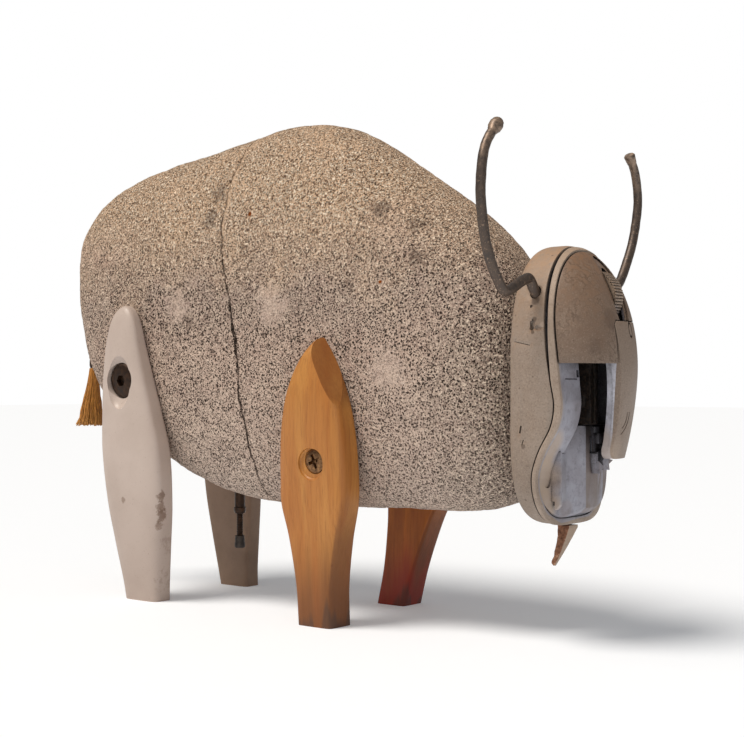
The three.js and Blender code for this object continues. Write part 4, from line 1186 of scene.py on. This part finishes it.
# The band: a raised bead round the case, between the two dark seams.
wheel_u, wheel_y, wheel_z = 23.5, -1, 150
wheel_width = 6.4
slot_half = wheel_width / 2 + 0.8


def wheel_slot(half, reach):
    """The long round-ended opening for the wheel."""
    outline = []
    for i in range(40):
        angle = 2 * math.pi * i / 40
        across = half * power(math.cos(angle), 0.8)
        outline.append((wheel_y + across, wheel_z + reach * power(math.sin(angle), 0.9)))
    return upright(outline, 10)


def band_low(z):
    return shell_edge(z) + seam / 2 + 0.1 + between(seam_gape, z)


band = case_form(-0.4)
carve(band, slab(band_low, lambda z: band_high(z) - 0.1), "INTERSECT")
carve(band, case_form(case_wall * 1.2))
carve(band, wheel_slot(slot_half, 12.5))
cased(eased(band, 0.8), case_band_lightened, "case_beige", "head_band")

# The cover: its palm end is left, sawn straight across, with the slot for the wheel.
cut_z = 121.6
panel_y, panel_top, panel_low = -10, 139.5, 81
cover = case_form()
carve(cover, slab(lambda z: band_high(z) + seam / 2 + 0.2, lambda z: 70), "INTERSECT")
carve(cover, case_box(0, 60, near_y, far_y, cut_z, case_top + 5), "INTERSECT")
carve(cover, case_form(case_wall))
notch = [(panel_y - seam / 2, cut_z - 5), (far_y, cut_z - 5), (far_y, panel_top + seam / 2),
         (panel_y + 2 - seam / 2, panel_top + seam / 2), (panel_y - seam / 2, panel_top - 2 + seam / 2)]
carve(cover, upright(notch, 0))
for side in (-1, 1):
    edge = sorted((wheel_y + side * slot_half, wheel_y + side * (slot_half + 2)))
    ear = case_box(wheel_u - 4, 45, *edge, wheel_z - 3, wheel_z + 3)
    carve(ear, case_form(0.4, 40, 56), "INTERSECT")
    carve(cover, ear, "UNION")
carve(cover, wheel_slot(slot_half, 12.6))
dip_half, dip_reach = 6.6, 17
almond = []
for i in range(48):
    angle = 2 * math.pi * i / 48
    almond.append((wheel_y - 0.4 + dip_half * math.sin(angle), wheel_z + 1 + dip_reach * math.cos(angle)))
dip = upright(almond, 10)
carve(dip, case_form(0.8))
carve(cover, dip)
axle_at = in_case(wheel_u, wheel_y - 8, wheel_z)
carve(cover, turned("axle_hole", [(1.8, 0), (1.8, 16)], axle_at, Vector((0, 1, 0))))
cased(eased(cover, 0.22), case_cover, "case_beige", "head_cover")

# The wheel: a grey rubbed disc with fine ribs round its rim, on a thin axle between two ears.
rib_tree, asked = new_group("wheel_ribs", "Geometry", {
    "Radius": 11 * MM, "Width": wheel_width * MM, "Rib thickness": 0.62 * MM, "Ribs": 52,
    "Middle": "Vector", "Finish": "Material",
}, "Geometry")
flat_turn = (math.pi / 2, 0, 0)


def cylinder(sides, radius, depth):
    return node(rib_tree, "GeometryNodeMeshCylinder", {"Vertices": sides, "Radius": radius, "Depth": depth})


disc = cylinder(72, asked["Radius"], asked["Width"])
circle = node(rib_tree, "GeometryNodeMeshCircle", {"Vertices": asked["Ribs"], "Radius": asked["Radius"]})
bar = cylinder(8, asked["Rib thickness"], asked["Width"])
ribs = node(rib_tree, "GeometryNodeInstanceOnPoints", {"Points": circle[0], "Instance": bar[0]})
axle = cylinder(24, 1.5 * MM, 14.4 * MM)
joined = node(rib_tree, "GeometryNodeJoinGeometry")
for source in (disc, ribs, axle):
    source[0].to(joined, 0)
real = node(rib_tree, "GeometryNodeRealizeInstances", {0: joined[0]})
placed = node(rib_tree, "GeometryNodeTransform", {
    "Geometry": real[0], "Rotation": flat_turn, "Translation": asked["Middle"],
})
dressed = node(rib_tree, "GeometryNodeSetMaterial", {"Geometry": placed[0], "Material": asked["Finish"]})
node(rib_tree, "NodeGroupOutput", {0: dressed[0]})
wheel = piece_of("head_wheel_ribbed", bpy.data.meshes.new("head_wheel_ribbed"))
wheel_grey = case_plastic(
    "wheel_grey", paint(150, 130, 112), paint(146, 126, 108), paint(130, 106, 84), 0.6, [],
)
grown(wheel, rib_tree, Middle=in_case(wheel_u, wheel_y, wheel_z), Finish=wheel_grey)
cased(wheel, wheel_grey, "case_grey", "head_wheel", sharp=50)

# The button: the far one of a pair is left, a curved panel with a thin inner skirt, a moulded
# catch at its top and a fingertip's rings at its foot.
skirt_depth = 5.3
panel_slant = 5
outward = Vector((1, 0, 0))


def strip(y0, z0, z1, corner):
    """The outline of the button, which slants in to a round lower corner."""
    low_y = y0 + panel_slant
    outline = [(far_y, z0), (far_y, z1), (y0 + 1.6, z1), (y0, z1 - 1.6)]
    for k in range(9):
        angle = math.pi / 2 * k / 8
        outline.append((low_y + corner * (1 - math.cos(angle)), z0 + corner * (1 - math.sin(angle))))
    return outline


def skirt_u(z):
    deeper = between([(88, 0), (121, 2.4)], z)
    return mid_u + case_crown(min(max(z, case_low), case_top)) - skirt_depth - deeper


button = case_form()
carve(button, upright(strip(panel_y, panel_low, panel_top, 7)), "INTERSECT")
hollow = case_form(case_wall)
carve(hollow, upright(strip(panel_y + case_wall, panel_low + case_wall, panel_top + 5, 5)), "INTERSECT")
carve(button, hollow)
carve(button, slab(lambda z: band_high(z) + seam / 2, lambda z: 70), "INTERSECT")
room = slab(lambda z: -5, skirt_u)
carve(room, case_box(-10, 60, near_y, case_y + 18, 0, case_top), "INTERSECT")
carve(button, room)
step_back = slab(lambda z: -5, lambda z: skirt_u(z) + 3.1)
beside_skirt = [(near_y, 60), (panel_y + 7, 60), (panel_y + 5.4, 88), (panel_y + 0.9, 150), (near_y, 150)]
carve(step_back, upright(beside_skirt), "INTERSECT")
carve(button, step_back)
for radius in (5.4, 7.6):
    centre = in_case(mid_u + case_crown(97) - 12, -3.4, 99)
    ring = turned("finger_ring", [(radius + 0.4, 0), (radius + 0.4, 20)], centre, outward, 60)
    carve(ring, turned("finger_ring", [(radius - 0.4, -1), (radius - 0.4, 21)], centre, outward, 60))
    carve(ring, case_box(0, 60, -0.6, far_y, 80, 101), "INTERSECT")
    carve(ring, case_form(0.22))
    carve(button, ring)
catch_at = in_case(mid_u + case_crown(136) - 6, 3.6, 136)
catch = turned("catch", [(1.9, 0), (1.9, 10)], catch_at, outward, 32)
carve(catch, turned("catch", [(1.3, -1), (1.3, 11)], catch_at, outward, 32))
stretched(catch, catch_at, (1, 1, 1.9))
carve(catch, case_form(1.1, 40, 72))
carve(button, catch)
cased(eased(button, 0.3), case_button, "case_beige", "head_button")

# The inner frame: a rolled ledge that follows the band, and a low ridged plate with a rib, slots,
# small tabs and broken hooks. It was hidden under the part of the cover that is gone.
tray_inset = case_wall * 1.2 + 0.3
plate_top = 95
ledge_edge = [
    (-8, 158.5), (-13.5, 150), (-15.4, 138), (-15.4, 106), (-16, 90), (-17.2, 75), (-18.6, 64), (-17.6, 60.5),
    (-15, 58), (8, 58), (12, 62), (13.5, 68), (15, grip_z), (15, palm_z), (12, 146.5), (4, 158.5),
]
ledge = case_form(tray_inset)
carve(ledge, upright(ledge_edge))
carve(ledge, slab(lambda z: band_high(z) - 3.6, lambda z: band_high(z) - 0.7), "INTERSECT")
eased(ledge, 1.1)

plate_line = [(12, near_y), (12.2, -27), (13.4, -23), (15, -14), (18.2, -2), (18.7, -1), (18.2, 0.2),
              (17.2, 10), (16.3, 19), (15, far_y)]


def plate_form(lower=0, drop=0):
    outline = plate_line + [(9.4, far_y), (9.4, near_y)]
    base = [in_case(u - lower, y, case_low - drop) for u, y in outline]
    return prism(base, Vector((0, 0, (plate_top - case_low) * MM)))


tray = plate_form()
carve(tray, plate_form(2.6, 4))
# A raised pad with its rib, three small tabs, and then two broken hooks.
lifted = [
    (12, 17.4, -21.2, -15.4, 63.5, 83.6), (15.4, 18.2, -21.2, -19.9, 60, 84.4),
    (13, 18.6, 7.2, 10.7, 91.8, 94.4), (13, 18.9, 9.8, 14.8, 87, 91.5), (14, 20.4, 5, 6.6, 78.6, 83.4),
]
for form in lifted:
    carve(tray, case_box(*form), "UNION")
hook_top = 21.6
hooks = [
    [(5.2, 79.6), (9.8, 77), (5.8, 74.2)],
    [(8.8, 80), (13, 84), (13.4, 80.4), (17.5, 79.6), (14, 78), (14.6, 75.4), (11.6, 77.4), (9, 75.6)],
]
for outline in hooks:
    carve(tray, upright(outline, 13, hook_top), "UNION")
for form in ((10, 30, 3.7, 6.2, 82.8, 90.6), (10, 16, -19.9, -18.7, 61.6, 66)):
    carve(tray, case_box(*form))
well_at = in_case(13.4, -23.4, 73)
carve(tray, stretched(turned("well", [(2.4, -6), (2.7, 6)], well_at, outward, 28), well_at, (1, 1, 1.5)))
carve(tray, case_form(tray_inset), "INTERSECT")
carve(tray, ledge, "UNION")
for form in ((18, 30, -27, -17.2, 114.9, 115.3), (18, 30, -17.6, -15.6, 115.8, 118.8)):
    carve(tray, case_box(*form))
below = slab(lambda z: skirt_u(z) - 0.3, lambda z: 60)
carve(below, case_box(0, 60, panel_y - 2, far_y, 70, panel_top + 3), "INTERSECT")
carve(tray, below)
clear_y, clear_z = slot_half + 3.3, 12.5  # room for the wheel and its ears
carve(tray, case_box(10, 60, wheel_y - clear_y, wheel_y + clear_y, wheel_z - clear_z, wheel_z + clear_z))
carve(tray, spike_room())
cased(eased(tray, 0.28), case_grey, "case_grey", "head_tray")

# The rail: two black bars of the old works, thick with grease and crumbs, on the shell's floor.
black_grease, tree, shader, place = new_material("black_grease", roughness=0.6, specular=0.3)
lumps = noisy(place, 900.0, 5.0, 0.7)
colour = mixed(ramp(lumps, 0.42, 0.72), paint(16, 12, 10), paint(62, 47, 36))
colour = mixed(ramp(lumps, 0.66, 0.74), colour, paint(120, 96, 76))
colour.to(shader, "Base Color")
bumped(shader, lumps, 0.8, 0.4 * MM)
rail_low, rail_high = 95.6, 138
rail = case_box(2.3, 12, -2.6, 3.4, rail_low, rail_high)
for middle in (-1.7, 2.5):
    carve(rail, case_box(10, 22, middle - 1.3, middle + 1.3, rail_low, rail_high), "UNION")
    carve(rail, case_box(14, 18.5, middle - 3, middle + 3, 104, 108), "UNION")
carve(rail, case_form(2.3), "INTERSECT")
modified(rail, "REMESH", mode="VOXEL", voxel_size=0.45 * MM)
settled(rail)
for vertex in rail.data.vertices:
    place_now = vertex.co * 420
    vertex.co += Vector((noise.noise(place_now), noise.noise(place_now + Vector((9, 0, 0))), 0)) * 0.35 * MM
rail.name = "head_rail_greasy"
painted(rail, black_grease)
smooth_faces(rail, 180)
fitted(rail, "dark_plastic", "head_rail")

# The blade under the chin: a broken steel spike, deeply rusted on one face, wedged in the seam.
rust, tree, shader, place = new_material("rusty_steel", roughness=0.8, metallic=0.2)
scale = noisy(place, 420.0, 6.0, 0.7)
colour = mixed(ramp(scale, 0.35, 0.55), paint(92, 56, 38), paint(144, 100, 74))
colour = layered(
    colour,
    (ramp(scale, 0.56, 0.66), 190, 156, 128),
    (facing(tree, 0, 0.3, 0.8) * 0.9, 178, 158, 140),
)
colour.to(shader, "Base Color")
bumped(shader, scale, 0.9, 0.5 * MM)
spike = spike_form("chin_spike_rusty")
edit = bmesh.new()
edit.from_mesh(spike.data)
bmesh.ops.subdivide_edges(edit, edges=edit.edges, cuts=5, use_grid_fill=True)
bmesh.ops.triangulate(edit, faces=edit.faces)
bmesh.ops.subdivide_edges(edit, edges=edit.edges, cuts=1, use_grid_fill=True)
edit.normal_update()
for vertex in edit.verts:
    rough_here = 0.55 if vertex.normal.y < -0.2 or vertex.normal.x < -0.2 else 0.12
    vertex.co += vertex.normal * noise.noise(vertex.co * 380) * rough_here * MM
edit.to_mesh(spike.data)
edit.free()
painted(spike, rust)
smooth_faces(spike, 35)
fitted(spike, "rusty_steel", "chin_spike")

# The photographer's table: a plain pale floor, soft light from above and the left, and a long lens
# a little to the front of the bull's right side.
floor_mesh = bpy.data.meshes.new("floor")
floor_mesh.from_pydata([(-6, -6, 0), (6, -6, 0), (6, 6, 0), (-6, 6, 0)], [], [(0, 1, 2, 3)])
floor = piece_of("floor", floor_mesh)
floor_white, tree, shader, place = new_material("floor_white", roughness=0.8)
shader.inputs["Base Color"].default_value = paint(240, 245, 252)
shader.inputs["Emission Color"].default_value = (1, 1, 1, 1)
shader.inputs["Emission Strength"].default_value = 0.12
floor.data.materials.append(floor_white)
floor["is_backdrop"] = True

world = bpy.data.worlds.new("studio")
bpy.context.scene.world = world
world.use_nodes = True
backdrop = world.node_tree
sky = backdrop.nodes["Background"]
sky.inputs["Color"].default_value = (1, 1, 1, 1)
# The sky is white to look at, but gives only a quarter of that light.
seen = node(backdrop, "ShaderNodeLightPath")["Is Camera Ray"]
sky_light = node(backdrop, "ShaderNodeMapRange", {"Value": seen, "To Min": 0.26, "To Max": 1.0})
sky_light["Result"].to(sky, "Strength")
bpy.context.scene.view_settings.view_transform = "Standard"


def studio_light(name, kind, at, strength, tint=(1, 1, 1)):
    """A soft light that looks at the middle of the figure."""
    lamp = bpy.data.lights.new(name, kind)
    lamp.energy = strength
    lamp.color = tint
    made = bpy.data.objects.new(name, lamp)
    made.location = at
    made.rotation_euler = (Vector((0, 0, 0.11)) - at).to_track_quat("-Z", "Y").to_euler()
    bpy.context.scene.collection.objects.link(made)
    return lamp


studio_light("key", "SUN", Vector((-0.3, -0.57, 1.3)), 2.75, (1, 0.93, 0.84)).angle = math.radians(28)
studio_light("fill", "AREA", Vector((0.9, -0.9, 0.5)), 1.5).size = 0.9

# The picture's size, the lens and the horizon, in pixels, and the film's width in millimetres.
view_width, view_height = 744, 737
lens_px = 1406
horizon_px = 385
film_width = 36
eye = spot(432.3, -531.3, 112.6)
camera = bpy.data.objects.new("camera", bpy.data.cameras.new("camera"))
camera.data.sensor_width = film_width
camera.data.lens = film_width * lens_px / view_width
camera.data.shift_y = (horizon_px - view_height / 2) / view_width
camera.data.clip_start = 0.01
camera.location = eye
camera.rotation_euler = (math.radians(90), 0, math.radians(38.7))
bpy.context.scene.collection.objects.link(camera)
bpy.context.scene.camera = camera

low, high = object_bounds()
